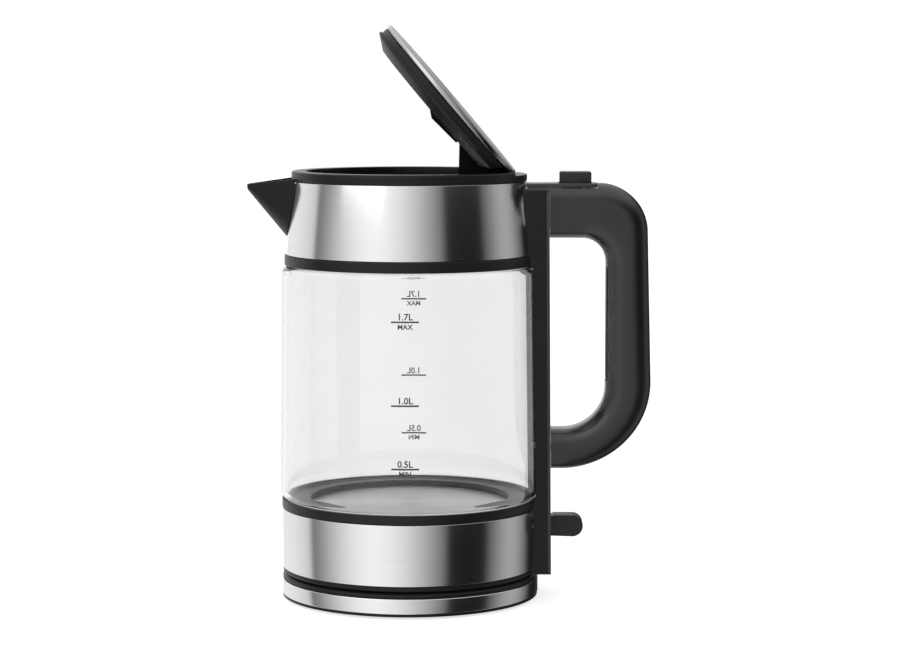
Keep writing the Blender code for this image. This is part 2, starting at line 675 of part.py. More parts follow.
def lid():
    """Lid on its hinge: plate, body, inner cover, hinge block with cam, seal and spring."""
    pivot = bpy.data.objects.new("lid_pivot", None)
    parts.objects.link(pivot)
    pivot.location = (HINGE_X, 0, HINGE_Z)
    pivot.rotation_euler = (0, math.radians(LID_OPEN_DEG), 0)

    under = LID_TOP - LID_EDGE
    skin = 0.9 * MM
    plate = loft("lid_top_plate", [d_ring(LID_R, LID_REAR, under), d_ring(LID_R, LID_REAR, LID_TOP)],
                 STEEL)
    pocket = loft("plate_pocket", [d_ring(LID_R - skin, LID_REAR - skin, under - 1 * MM),
                                   d_ring(LID_R - skin, LID_REAR - skin, LID_TOP - skin)])
    cut(plate, pocket)

    chord_top, chord_side, chord_low, chord_seal = -9 * MM, -13 * MM, -18 * MM, -26 * MM
    side_low = under - GAP - LID_SIDE
    low = side_low - LID_TAPER_DROP
    wall = LID_WALL
    body = loft("lid_body", [
        d_ring(LID_BODY_R - LID_TAPER_IN, chord_low, low),
        d_ring(LID_BODY_R, chord_side, side_low),
        d_ring(LID_BODY_R, chord_top, under - GAP),
    ], BLACK)
    hollow = loft("lid_hollow", [
        d_ring(LID_BODY_R - LID_TAPER_IN - wall, chord_low - wall, low + wall),
        d_ring(LID_BODY_R - wall, chord_side - wall, side_low + 0.6 * MM),
        d_ring(LID_BODY_R - wall, chord_side - wall, under + 1 * MM),
    ])
    cut(body, hollow)
    backing_r, backing_chord = LID_BODY_R - wall - GAP, chord_side - wall - GAP
    backing = loft("lid_backing", [
        d_ring(backing_r, backing_chord, side_low + 1.6 * MM),
        d_ring(backing_r, backing_chord, LID_TOP - skin - GAP),
    ], CREAM)
    thin = loft("backing_hollow", [
        d_ring(backing_r - wall, backing_chord - wall, side_low - 1 * MM),
        d_ring(backing_r - wall, backing_chord - wall, LID_TOP - skin - wall),
    ])
    cut(backing, thin)

    seal_low, seal_high = 1.4 * MM, 2.8 * MM
    seal_r = LID_BODY_R + 0.9 * MM
    seal = loft("lid_seal", [d_ring(seal_r, chord_seal, seal_low),
                             d_ring(seal_r, chord_seal, seal_high)], RUBBER)
    inner = loft("seal_inner", [
        d_ring(LID_BODY_R + GAP, chord_side + 0.6 * MM, seal_low - 1 * MM),
        d_ring(LID_BODY_R + GAP, chord_side + 4.6 * MM, seal_high + 2 * MM)])
    cut(seal, inner)

    inner_cover = side_plate("lid_inner_cover", [
        (-60 * MM, low - GAP), (-55 * MM, -6.3 * MM), (-36 * MM, -4.8 * MM), (-36 * MM, low - GAP),
    ], 24 * MM, BLACK)

    block_top = low - GAP
    block = side_plate("lid_hinge_block", [
        (-35 * MM, block_top),
        (-24.9 * MM, -12.4 * MM),
        (-20.0 * MM, -17.3 * MM),
        (-14.0 * MM, -17.3 * MM),
        (-3.6 * MM, -7.0 * MM),
        *arc(0, 0, KNUCKLE_R, KNUCKLE_R, -90, 90, 9),
        (-4.4 * MM, under - GAP),
        (chord_top + 0.5 * MM, under - GAP),
        (chord_side + 0.5 * MM, side_low - 0.1 * MM),
        (chord_low + 0.3 * MM, block_top),
    ], KNUCKLE_HALF, BLACK)
    cam = side_plate("hinge_cam", [
        (-6 * MM, -6 * MM),
        *arc(0, 0, 5.2 * MM, 5.2 * MM, -75, -30, 4),
        *arc(0, 0, CAM_R, CAM_R, -29, 16, 5),
        (0, 2 * MM),
    ], CAM_HALF)
    merge(block, cam)
    for side in (-1, 1):
        near, far = sorted((side * 5.2 * MM, side * 12.5 * MM))
        cut(block, box(f"knuckle_gap_{side}", (-6.2 * MM, near, -7.5 * MM), (9 * MM, far, 9 * MM)))
    cut(block, rod("knuckle_bore", (0, -40 * MM, 0), 80 * MM, PIN_R + GAP, "Y"))

    turns, per_turn = 4, 8
    coil = []
    for i in range(turns * per_turn + 1):
        angle = 2 * math.pi * i / per_turn
        coil.append((2.9 * MM * math.cos(angle), (6.4 + 1.3 * i / per_turn) * MM,
                     2.9 * MM * math.sin(angle)))
    spring = wire("lid_spring", coil, 0.45 * MM, SCREW_STEEL)
    for item in (plate, pocket, body, hollow, backing, thin, seal, inner, inner_cover, block, cam,
                 spring):
        item.parent = pivot
    for item in cutters.objects:
        if item.name.startswith(("knuckle_gap", "knuckle_bore")):
            item.parent = pivot


def spine_face(z):
    """Return the X of the spine's outer face at a height."""
    share = (z - SPINE_BOTTOM) / (SPINE_TOP - SPINE_BOTTOM)
    return SPINE_X_BOTTOM + (SPINE_X_TOP - SPINE_X_BOTTOM) * share


def spine():
    """Hollow column behind the jug, open towards it, with the steam tube inside."""
    housing = side_plate("spine_housing", [
        (60 * MM, SPINE_BOTTOM), (SPINE_X_BOTTOM, SPINE_BOTTOM),
        (SPINE_X_TOP, SPINE_TOP), (60 * MM, SPINE_TOP),
    ], SPINE_HALF, BLACK, 2 * MM, 1)
    cut(housing, body_envelope("spine_seat", 2 * GAP))
    wall = SPINE_WALL
    channel_x = SPINE_X_TOP - wall
    cut(housing, box("spine_channel", (55 * MM, wall - SPINE_HALF, SPINE_BOTTOM + wall),
                     (channel_x, SPINE_HALF - wall, SPINE_TOP - 10 * MM)))
    slot = LEVER_HALF + 0.8 * MM
    cut(housing, box("lever_slot", (60 * MM, -slot, LEVER_PIVOT_Z - 9 * MM),
                     (90 * MM, slot, LEVER_PIVOT_Z + 8 * MM)))
    bolt_slot = BOLT_HALF + 0.8 * MM
    cut(housing, box("spine_bolt_slot", (55 * MM, -bolt_slot, BOLT_Z[0] - 0.8 * MM),
                     (90 * MM, bolt_slot, BOLT_Z[1] + 0.8 * MM)))
    ear_near = slot + 0.2 * MM
    for side in (-1, 1):
        near, far = sorted((side * ear_near, side * (ear_near + 2.4 * MM)))
        merge(housing, box(f"lever_ear_{side}", (71 * MM + 2 * MM, near, LEVER_PIVOT_Z - 4 * MM),
                           (channel_x + 1 * MM, far, LEVER_PIVOT_Z + 4 * MM)))
    pin_half = ear_near + 2.0 * MM
    cut(housing, rod("lever_pin_bore", (LEVER_PIVOT_X + 1 * MM, -pin_half - GAP, LEVER_PIVOT_Z),
                     2 * (pin_half + GAP), 1.0 * MM + GAP, "Y"))
    rod("lever_pin", (LEVER_PIVOT_X + 1 * MM, -pin_half, LEVER_PIVOT_Z), 2 * pin_half, 1.0 * MM, "Y",
        SCREW_STEEL, 12)

    tube = turned("steam_tube", [
        (1.3 * MM, 216 * MM), (2.0 * MM, 216 * MM), (2.0 * MM, 52 * MM), (1.3 * MM, 52 * MM),
    ], RUBBER, SMALL_ROUND)
    tube.location = (channel_x - 2.0 * MM - GAP, SPINE_HALF - wall - 2.0 * MM - GAP, 0)


def handle():
    """D-shaped handle: loop with a hollow upper arm, grip cover, top cap and its screws."""
    arm_start = 62 * MM
    outline = [(arm_start, ARM_TOP)]
    outline += arc(105 * MM, 205 * MM, GRIP_OUTER_TOP_X - 105 * MM, ARM_TOP - 205 * MM, 90, 0, 9)
    outline += arc(84 * MM, 121 * MM, GRIP_OUTER_LOW_X - 84 * MM, 121 * MM - HANDLE_LOW_Z, 0, -90, 13)
    outline.append((arm_start, HANDLE_LOW_Z))
    outline.append((arm_start, LOWER_ARM_TOP_Z))
    outline += arc(85 * MM, 119 * MM, GRIP_INNER_X - 85 * MM, 119 * MM - LOWER_ARM_TOP_Z, -90, 0, 8)
    outline += arc(96 * MM, 188 * MM, GRIP_INNER_X - 96 * MM, ARM_UNDER_Z - 188 * MM, 0, 90, 6)
    outline.append((arm_start, ARM_UNDER_Z))
    loop = side_plate("handle_loop", outline, HANDLE_HALF, BLACK, HANDLE_EDGE, 2)
    cut(loop, side_plate("arm_face_cut", [
        (50 * MM, 50 * MM), (spine_face(50 * MM) + GAP, 50 * MM), (SPINE_X_TOP + GAP, SPINE_TOP),
        (SPINE_X_TOP + GAP, 250 * MM), (50 * MM, 250 * MM)], 30 * MM))
    cover_low, cover_high = 122 * MM, 186 * MM
    cut(loop, box("grip_hollow", (GRIP_INNER_X - 3 * MM, -GRIP_COVER_HALF - GAP, cover_low - GAP),
                  (GRIP_INNER_X + 15 * MM, GRIP_COVER_HALF + GAP, cover_high + GAP)))
    box("handle_grip_cover", (GRIP_INNER_X + GAP, -GRIP_COVER_HALF, cover_low),
        (GRIP_INNER_X + 2.6 * MM, GRIP_COVER_HALF, cover_high), BLACK)
    cut(loop, box("arm_hollow", (70 * MM, -10.3 * MM, 206 * MM), (CAP_END_X - 0.6 * MM, 10.3 * MM, 240 * MM)))
    cut(loop, box("arm_cap_seat", (70 * MM, -CAP_HALF - GAP, CAP_TOP - CAP_THICK - GAP),
                  (CAP_END_X + GAP, CAP_HALF + GAP, 250 * MM)))

    cap = side_plate("handle_top_cap", [
        (58 * MM, CAP_TOP - CAP_THICK), (CAP_END_X, CAP_TOP - CAP_THICK),
        (CAP_END_X, CAP_TOP), (58 * MM, CAP_TOP),
    ], CAP_HALF, BLACK, 1.0 * MM, 1)
    cut(cap, rod("cap_front_cut", (0, 0, 200 * MM), 60 * MM, RIM_R + 2 * GAP, steps=ROUND))
    cut(cap, box("button_hole", (BUTTON_X[0] - 0.4 * MM, -BUTTON_HALF - 0.4 * MM, 200 * MM),
                 (BUTTON_X[1] + 0.4 * MM, BUTTON_HALF + 0.4 * MM, 250 * MM)))

    name, z, shank_r = "handle_screw_lower", 84 * MM, 1.6 * MM
    head_x = channel_face() - 1.6 * MM
    shank = rod(name, (head_x, 0, z), 16 * MM, shank_r, "X", SCREW_STEEL, 12)
    merge(shank, rod("screw_head", (head_x, 0, z), 1.5 * MM, 3.2 * MM, "X", steps=16))
    cut(bpy.data.objects["spine_housing"],
        rod("screw_spine_hole", (head_x - 10.6 * MM, 0, z), 20 * MM, shank_r + GAP, "X"))
    cut(loop, rod("screw_arm_hole", (70 * MM, 0, z), 25 * MM, shank_r + GAP, "X"))


def channel_face():
    """Return the X of the inner face of the spine's outer wall."""
    return SPINE_X_TOP - SPINE_WALL


def lid_release():
    """Button in the handle, with the bolt that it draws back, and both return springs."""
    button = box("lid_button", (BUTTON_X[0], -BUTTON_HALF, 230 * MM),
                 (BUTTON_X[1], BUTTON_HALF, BUTTON_TOP), BLACK)
    flange_low, flange_high = 227.4 * MM, CAP_TOP - CAP_THICK - GAP
    for side in (-1, 1):
        near, far = sorted((side * 5.2 * MM, side * BUTTON_HALF))
        merge(button, box(f"button_skirt_{side}", (85 * MM, near, 221 * MM), (96 * MM, far, 232 * MM)))
        near, far = sorted((side * 6 * MM, side * 9.8 * MM))
        merge(button, box(f"button_flange_{side}", (85 * MM, near, flange_low),
                          (96 * MM, far, flange_high)))
    window_end = 93 * MM
    slope = BOLT_TRAVEL / BUTTON_TRAVEL
    wedge_low, wedge_high = 222 * MM, 231 * MM
    wedge_top_x = window_end - 0.5 * MM
    wedge = side_plate("button_wedge", [
        (86.6 * MM, wedge_high),
        (86.6 * MM, wedge_low),
        (wedge_top_x - slope * (BOLT_Z[1] - wedge_low), wedge_low),
        (wedge_top_x + slope * (wedge_high - BOLT_Z[1]), wedge_high),
    ], 2.0 * MM)
    merge(button, wedge)
    merge(button, box("button_leg", (98.3 * MM, 1 * MM, 219.8 * MM), (BUTTON_X[1], BUTTON_HALF, 231 * MM)))

    spring_x, spring_y, spring_r = 99.8 * MM, 4.6 * MM, 2.0 * MM
    wire("button_spring", coil_points(spring_r, 206.8 * MM, 218.9 * MM, spring_x, spring_y),
         0.4 * MM, SCREW_STEEL)

    bolt = box("latch_bolt", (BOLT_NOSE_X, -BOLT_HALF, BOLT_Z[0]),
               (BOLT_END_X, BOLT_HALF, BOLT_Z[1]),
               SCREW_STEEL)
    cut(bolt, box("bolt_window", (83.5 * MM, -2.5 * MM, 200 * MM), (window_end, 2.5 * MM, 240 * MM)))
    merge(bolt, box("bolt_lug", (81 * MM, -BOLT_HALF, 209.5 * MM), (82.6 * MM, BOLT_HALF, 224 * MM)))
    axis_z = 213 * MM
    points = coil_points(2.2 * MM, 83.4 * MM, 97.4 * MM, 0, 0)
    wire("latch_spring", [(z, y, axis_z + x) for x, y, z in points], 0.4 * MM, SCREW_STEEL)
    stop = box("spring_stop", (98.0 * MM, -4 * MM, 205 * MM), (99.6 * MM, 0.2 * MM, 216 * MM))
    merge(bpy.data.objects["handle_loop"], stop)


def coil_points(radius, low, high, x, y, turns=4, per_turn=8):
    """Return points of an upright coil, from low to high."""
    points = []
    for i in range(turns * per_turn + 1):
        angle = 2 * math.pi * i / per_turn
        points.append((x + radius * math.cos(angle), y + radius * math.sin(angle),
                       low + (high - low) * i / (turns * per_turn)))
    return points


def switch_lever():
    """Rocking lever: paddle outside the spine, short arm towards the control inside."""
    x, z = LEVER_PIVOT_X + 1 * MM, LEVER_PIVOT_Z
    reach = LEVER_TIP_X - x
    paddle = side_plate("switch_lever", [
        (-16 * MM, 3 * MM), (-16 * MM, -0.5 * MM), (-3 * MM, -2.6 * MM), (4 * MM, -5.6 * MM),
        *arc(reach - 6 * MM, 0, 6 * MM, 6 * MM, -85, 85, 9),
        (6 * MM, 6 * MM), (2 * MM, 4 * MM),
    ], LEVER_HALF, BLACK)
    paddle.location = (x, 0, z)
    bore = rod("lever_bore", (x, -20 * MM, z), 40 * MM, 1.0 * MM + GAP, "Y")
    cut(paddle, bore)


power_base()
jug_floor()
jug_walls()
top_rim()
lid()
spine()
handle()
lid_release()
switch_lever()
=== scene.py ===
"""Looks of the electric kettle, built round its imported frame.

Turned parts take their profile from the frame and are turned again, finely and with eased edges.
Lengths are in metres, in the frame's own coordinates: jug axis on Z, spout to -X, handle to +X.
"""
import json
import math

import bmesh
import bpy
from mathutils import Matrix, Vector


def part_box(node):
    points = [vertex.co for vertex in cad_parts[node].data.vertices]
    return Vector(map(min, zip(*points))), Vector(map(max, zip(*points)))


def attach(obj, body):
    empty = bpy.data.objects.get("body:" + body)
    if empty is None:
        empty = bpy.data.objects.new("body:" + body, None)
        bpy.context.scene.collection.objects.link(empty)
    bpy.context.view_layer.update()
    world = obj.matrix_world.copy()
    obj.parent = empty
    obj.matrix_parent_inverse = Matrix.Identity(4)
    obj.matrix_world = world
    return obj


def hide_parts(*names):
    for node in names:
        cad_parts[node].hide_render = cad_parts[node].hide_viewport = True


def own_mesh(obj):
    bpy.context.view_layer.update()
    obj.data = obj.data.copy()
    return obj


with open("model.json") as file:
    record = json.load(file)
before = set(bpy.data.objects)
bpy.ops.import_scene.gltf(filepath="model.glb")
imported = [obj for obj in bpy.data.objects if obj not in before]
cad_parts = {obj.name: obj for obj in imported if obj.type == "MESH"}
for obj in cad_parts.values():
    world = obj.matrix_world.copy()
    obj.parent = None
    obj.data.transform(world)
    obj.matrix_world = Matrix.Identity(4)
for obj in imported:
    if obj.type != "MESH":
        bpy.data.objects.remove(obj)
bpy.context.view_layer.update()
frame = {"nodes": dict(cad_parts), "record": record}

MM = 0.001
GAP = 0.3 * MM
WELD = 0.005 * MM
FINE = 160
FINEST = 240
EASE = 0.35 * MM

# Places that more than one piece is cut or fitted to
SCREW_HOLE_R = 1.9 * MM
BOSS_R = 3.6 * MM
BOSS_HOLE_R = 1.7 * MM
COLLAR_LOW_Z = 192.6 * MM
COLLAR_TOP_Z = 233 * MM
ABOVE_Z = 260 * MM
HINGE = Vector((53.4 * MM, 0, 230.5 * MM))
LID_OPEN = math.radians(49.5)
HINGE_BORE_R = 1.8 * MM
LEVER_BORE_R = 1.3 * MM
LEVER_AXIS = (75.0 * MM, 40.0 * MM)
BOLT_SLOT_Z = (222.0 * MM, 226.8 * MM)
BOLT_SLOT_GAP = 0.8 * MM
HANDLE_SCREW_Z = 84 * MM
GRIP_INNER_X = 109.2 * MM
BUTTON_X = (83.4 * MM, 101.0 * MM)
BUTTON_HALF = 7.9 * MM
BUTTON_SPRING_XY = (99.8 * MM, 4.6 * MM)
LATCH_SPRING_Z = 213 * MM

BODY_OF = {node: body for body, nodes in frame["record"]["behaviour"]["bodies"].items()
           for node in nodes}
SLOT_OF = {entry["node"]: entry["material_slot"] for entry in frame["record"]["subparts"]}

# ---------------------------------------------------------------- materials


class Graph:
    """Small helper that adds and links shader nodes."""

    def __init__(self, name):
        self.material = bpy.data.materials.new(name)
        self.material.use_nodes = True
        self.tree = self.material.node_tree
        self.shader = self.tree.nodes["Principled BSDF"]
        self.coords = self.tree.nodes.new("ShaderNodeTexCoord").outputs["Object"]

    def set(self, **values):
        """Set uniform values on the shader's own sockets."""
        for name, value in values.items():
            self.shader.inputs[name.replace("_", " ")].default_value = value
        return self

    def node(self, kind, **settings):
        """Add a node, with its settings."""
        made = self.tree.nodes.new(kind)
        for name, value in settings.items():
            setattr(made, name, value)
        return made

    def link(self, source, target):
        """Link an output to an input."""
        self.tree.links.new(source, target)

    def stretched(self, scale):
        """Return object coordinates, scaled on each axis."""
        mapping = self.node("ShaderNodeMapping")
        mapping.inputs["Scale"].default_value = scale
        self.link(self.coords, mapping.inputs["Vector"])
        return mapping.outputs["Vector"]

    def noise(self, vector, scale, detail=3.0, roughness=0.55):
        """Return a noise value."""
        noise = self.node("ShaderNodeTexNoise")
        noise.inputs["Scale"].default_value = scale
        noise.inputs["Detail"].default_value = detail
        noise.inputs["Roughness"].default_value = roughness
        self.link(vector, noise.inputs["Vector"])
        return noise.outputs["Fac"]

    def ramp(self, value, low, high, start=0.3, end=0.7):
        """Map a value between two greys or colours."""
        ramp = self.node("ShaderNodeValToRGB")
        ramp.color_ramp.elements[0].position = start
        ramp.color_ramp.elements[1].position = end
        ramp.color_ramp.elements[0].color = as_colour(low)
        ramp.color_ramp.elements[1].color = as_colour(high)
        self.link(value, ramp.inputs["Fac"])
        return ramp.outputs["Color"]

    def roughness(self, value, low, high):
        """Let a value set the roughness between two limits."""
        limits = self.node("ShaderNodeMapRange")
        limits.inputs["To Min"].default_value = low
        limits.inputs["To Max"].default_value = high
        self.link(value, limits.inputs["Value"])
        self.link(limits.outputs["Result"], self.shader.inputs["Roughness"])

    def bump(self, value, strength, distance):
        """Add a fine height to the shader's normal."""
        bump = self.node("ShaderNodeBump")
        bump.inputs["Strength"].default_value = strength
        bump.inputs["Distance"].default_value = distance
        self.link(value, bump.inputs["Height"])
        self.link(bump.outputs["Normal"], self.shader.inputs["Normal"])


def as_colour(value):
    """Return an RGBA colour from a grey or a colour."""
    if isinstance(value, (int, float)):
        return (value, value, value, 1.0)
    return (*value, 1.0)


def ring_vector(graph, round_scale, height_scale):
    """Return coordinates that run round the Z axis, for lines brushed round the jug."""
    split = graph.node("ShaderNodeSeparateXYZ")
    graph.link(graph.coords, split.inputs["Vector"])
    angle = graph.node("ShaderNodeMath", operation="ARCTAN2")
    graph.link(split.outputs["Y"], angle.inputs[0])
    graph.link(split.outputs["X"], angle.inputs[1])
    parts = []
    for source, scale in ((angle.outputs["Value"], round_scale), (split.outputs["Z"], height_scale)):
        scaled = graph.node("ShaderNodeMath", operation="MULTIPLY")
        scaled.inputs[1].default_value = scale
        graph.link(source, scaled.inputs[0])
        parts.append(scaled.outputs["Value"])
    joined = graph.node("ShaderNodeCombineXYZ")
    graph.link(parts[0], joined.inputs["X"])
    graph.link(parts[1], joined.inputs["Y"])
    return joined.outputs["Vector"]


def brushed_steel(name, tone, roughness, around_axis=True):
    """Steel with fine brush lines: round the jug, or straight across on flat plates."""
    graph = Graph(name).set(Metallic=1.0, Anisotropic=0.6, Anisotropic_Rotation=0.25)
    if around_axis:
        vector = ring_vector(graph, 1.6, 3600.0)
    else:
        vector = graph.stretched((90.0, 5200.0, 90.0))
    lines = graph.noise(vector, 1.0, 2.0)
    cloud = graph.noise(graph.coords, 35.0, 3.0)
    graph.link(graph.ramp(lines, tone * 0.955, tone, 0.35, 0.65), graph.shader.inputs["Base Color"])
    graph.roughness(cloud, roughness - 0.03, roughness + 0.03)
    graph.bump(lines, 0.05, 0.00002)
    if around_axis:
        tangent = graph.node("ShaderNodeTangent", direction_type="RADIAL", axis="Z")
        graph.link(tangent.outputs["Tangent"], graph.shader.inputs["Tangent"])
    return graph.material


def moulded_plastic(name, tone, roughness, grain=0.08, gloss=0.25, index=1.49):
    """Moulded plastic with a fine spark-eroded grain and slightly uneven gloss."""
    graph = Graph(name).set(IOR=index, Specular_IOR_Level=gloss)
    grain_value = graph.noise(graph.coords, 2600.0, 2.0)
    cloud = graph.noise(graph.coords, 28.0, 4.0)
    graph.link(graph.ramp(cloud, tone[0], tone[1]), graph.shader.inputs["Base Color"])
    graph.roughness(cloud, roughness - 0.05, roughness + 0.05)
    graph.bump(grain_value, grain, 0.00003)
    return graph.material


def clear_glass():
    """Clear borosilicate glass with faint surface unevenness."""
    graph = Graph("clear_glass").set(IOR=1.47, Transmission_Weight=1.0, Metallic=0.0)
    waves = graph.noise(graph.coords, 14.0, 2.0)
    graph.link(graph.ramp(waves, (0.84, 0.845, 0.847), (0.855, 0.86, 0.862)),
               graph.shader.inputs["Base Color"])
    graph.roughness(waves, 0.0, 0.012)
    return graph.material


def plain_metal(name, low, high, roughness):
    """Plated, cast or bare metal of small inner parts, with a mottled surface."""
    graph = Graph(name).set(Metallic=1.0)
    mottle = graph.noise(graph.coords, 420.0, 4.0)
    graph.link(graph.ramp(mottle, low, high), graph.shader.inputs["Base Color"])
    graph.roughness(mottle, roughness - 0.05, roughness + 0.08)
    graph.bump(mottle, 0.08, 0.00004)
    return graph.material


STEEL = brushed_steel("brushed_steel", 0.93, 0.2)
FLOOR_STEEL = brushed_steel("floor_steel", 0.6, 0.3)
PLATE_STEEL = brushed_steel("plate_steel", 0.40, 0.3, around_axis=False)
# Lid plate edges: smoother steel, with a tone brighter than the plate's top that is a painted highlight along
# the lid's rim.
EDGE_HIGHLIGHT_STEEL = brushed_steel("smooth_edge_steel_painted_highlight", 0.5, 0.22, around_axis=False)
BLACK = moulded_plastic("black_plastic", (0.0075, 0.0105), 0.36)
HANDLE_BLACK = moulded_plastic("handle_black_plastic", (0.008, 0.011), 0.25, gloss=0.72)
# Painted highlight: a lighter, glossier copy of the black plastic, put on the spine's upper right edge where
# a light from the right shines.
SPINE_EDGE_HIGHLIGHT = moulded_plastic("spine_edge_painted_highlight", (0.02, 0.026), 0.3, gloss=0.8, index=1.9)
# Painted shade: a darker, rougher copy of the black plastic, for the lid's skirt and the grip cover's inner
# face, which stand in shade.
SHADE_BLACK = moulded_plastic("painted_shade_black_plastic", (0.006, 0.009), 0.45)
# Painted shade: a near-black copy of the black plastic with almost no reflection, for the inner cover and
# hinge block under the open lid by the hinge.
HINGE_SHADE_BLACK = moulded_plastic("hinge_painted_shade_black_plastic", (0.002, 0.003), 0.5, gloss=0.08)
BUTTON_BLACK = moulded_plastic("button_black_plastic", (0.02, 0.026), 0.42)
RING_BLACK = moulded_plastic("ring_black_plastic", (0.009, 0.013), 0.34)
SEAL_BLACK = moulded_plastic("dark_silicone", (0.012, 0.018), 0.6, 0.15)
SILICONE = moulded_plastic("grey_silicone", (0.22, 0.27), 0.62, 0.15)
FOOT_RUBBER = moulded_plastic("foot_rubber", (0.02, 0.03), 0.7, 0.2)
CREAM = moulded_plastic("cream_plastic", (0.62, 0.68), 0.45)
MARK_GREY = moulded_plastic("printed_grey", (0.055, 0.07), 0.5)
BRASS = plain_metal("brass", (0.6, 0.42, 0.18), (0.78, 0.58, 0.28), 0.28)
ALUMINIUM = plain_metal("cast_aluminium", (0.55, 0.55, 0.57), (0.7, 0.7, 0.72), 0.42)
SCREW_STEEL = plain_metal("plated_steel", (0.4, 0.4, 0.42), (0.56, 0.56, 0.58), 0.3)
GLASS = clear_glass()
DEFAULT_LOOK = {"brushed_steel": STEEL, "black_plastic": BLACK, "clear_glass": GLASS,
                "silicone": SILICONE, "brass": BRASS, "aluminium": ALUMINIUM,
                "cream_plastic": CREAM, "screw_steel": SCREW_STEEL}

# ---------------------------------------------------------------- modelling helpers


def finish_mesh(piece, angle=32.0):
    """Shade a piece smooth, with its real edges kept sharp."""
    piece.data.shade_smooth()
    piece.data.set_sharp_from_angle(angle=math.radians(angle))


def new_piece(name, shape, material):
    """Turn a bmesh into an object with a material."""
    mesh = bpy.data.meshes.new(name)
    shape.to_mesh(mesh)
    shape.free()
    if material is not None:
        mesh.materials.append(material)
    piece = bpy.data.objects.new(name, mesh)
    bpy.context.scene.collection.objects.link(piece)
    return piece


def curve_mesh(name, curve):
    """Turn a curve or text into a mesh, and remove the object that carried it."""
    guide = bpy.data.objects.new(name + "_guide", curve)
    bpy.context.scene.collection.objects.link(guide)
    bpy.context.view_layer.update()
    graph = bpy.context.evaluated_depsgraph_get()
    mesh = bpy.data.meshes.new_from_object(guide.evaluated_get(graph))
    bpy.data.objects.remove(guide, do_unlink=True)
    return mesh


def welded(mesh, reach):
    """Return a mesh as a bmesh with its doubled points joined."""
    shape = bmesh.new()
    shape.from_mesh(mesh)
    bmesh.ops.remove_doubles(shape, verts=shape.verts, dist=reach)
    return shape


def seat(piece, node):
    """Let a piece stand for a node and ride on the node's body."""
    finish_mesh(piece)
    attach(piece, BODY_OF[node])
    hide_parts(node)
    return piece


def middle_of(node):
    """Return the X, Y and Z of the middle of a node's box."""
    low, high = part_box(node)
    return tuple((low[axis] + high[axis]) / 2 for axis in range(3))


def half_of(node, axis=1):
    """Return half a node's width, in Y unless another axis is named."""
    low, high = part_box(node)
    return (high[axis] - low[axis]) / 2


def spread(side, inner, outer):
    """Return a strip's limits on one side of y = 0, lowest first."""
    return sorted((side * inner, side * outer))


def apply_all(piece):
    """Apply a piece's modifiers and its placement."""
    bpy.context.view_layer.update()
    graph = bpy.context.evaluated_depsgraph_get()
    mesh = bpy.data.meshes.new_from_object(piece.evaluated_get(graph))
    mesh.transform(piece.matrix_world)
    piece.modifiers.clear()
    piece.data = mesh
    piece.location = (0, 0, 0)
    piece.rotation_euler = (0, 0, 0)
    return piece


def combine(piece, operation, *tools):
    """Cut, join or intersect a piece with tools, which are used up."""
    for tool in tools:
        change = piece.modifiers.new("change", "BOOLEAN")
        change.object = tool
        change.operation = operation
        change.solver = "EXACT"
    apply_all(piece)
    for tool in tools:
        bpy.data.objects.remove(tool, do_unlink=True)
    return piece


def cut(piece, *tools):
    """Cut tools out of a piece."""
    return combine(piece, "DIFFERENCE", *tools)


def merge(piece, *tools):
    """Join tools to a piece."""
    return combine(piece, "UNION", *tools)


def ease(piece, width, segments=3, angle=30.0):
    """Round a piece's edges."""
    change = piece.modifiers.new("ease", "BEVEL")
    change.width = width
    change.segments = segments
    change.limit_method = "ANGLE"
    change.angle_limit = math.radians(angle)
    change.use_clamp_overlap = True
    return apply_all(piece)


def box(name, low, high, material=None):
    """Make a box between two corners."""
    shape = bmesh.new()
    bmesh.ops.create_cube(shape, size=1.0)
    for vertex in shape.verts:
        for axis in range(3):
            middle = (low[axis] + high[axis]) / 2
            vertex.co[axis] = middle + vertex.co[axis] * (high[axis] - low[axis])
    return new_piece(name, shape, material)


def rod(name, start, length, radius, axis="Z", material=None, steps=48):
    """Make a cylinder that starts at a point and runs along +X, +Y or +Z."""
    shape = bmesh.new()
    bmesh.ops.create_cone(shape, cap_ends=True, segments=steps, radius1=radius, radius2=radius,
                          depth=length)
    bmesh.ops.translate(shape, verts=shape.verts, vec=(0, 0, length / 2))
    piece = new_piece(name, shape, material)
    piece.location = start
    piece.rotation_euler = {"X": (0, math.pi / 2, 0), "Y": (-math.pi / 2, 0, 0), "Z": (0, 0, 0)}[axis]
    return apply_all(piece)


def arc(centre_u, centre_v, radius_u, radius_v, start_deg, end_deg, count):
    """Return points on an elliptical arc, both ends included."""
    points = []
    for i in range(count):
        angle = math.radians(start_deg + (end_deg - start_deg) * i / (count - 1))
        points.append((centre_u + radius_u * math.cos(angle), centre_v + radius_v * math.sin(angle)))
    return points


def side_plate(name, outline, half, material=None, bevel=0.0, resolution=5):
    """Make a solid from an outline in X and Z, centred on y = 0, with rounded edges."""
    curve = bpy.data.curves.new(name, "CURVE")
    curve.dimensions = "2D"
    curve.fill_mode = "BOTH"
    curve.extrude = half - bevel
    curve.bevel_depth = bevel
    curve.offset = -bevel
    curve.bevel_resolution = resolution
    spline = curve.splines.new("POLY")
    spline.points.add(len(outline) - 1)
    for point, (u, v) in zip(spline.points, outline):
        point.co = (u, v, 0.0, 1.0)
    spline.use_cyclic_u = True
    shape = welded(curve_mesh(name, curve), WELD)
    bmesh.ops.recalc_face_normals(shape, faces=shape.faces)
    piece = new_piece(name, shape, material)
    piece.rotation_euler = (math.pi / 2, 0, 0)
    return apply_all(piece)


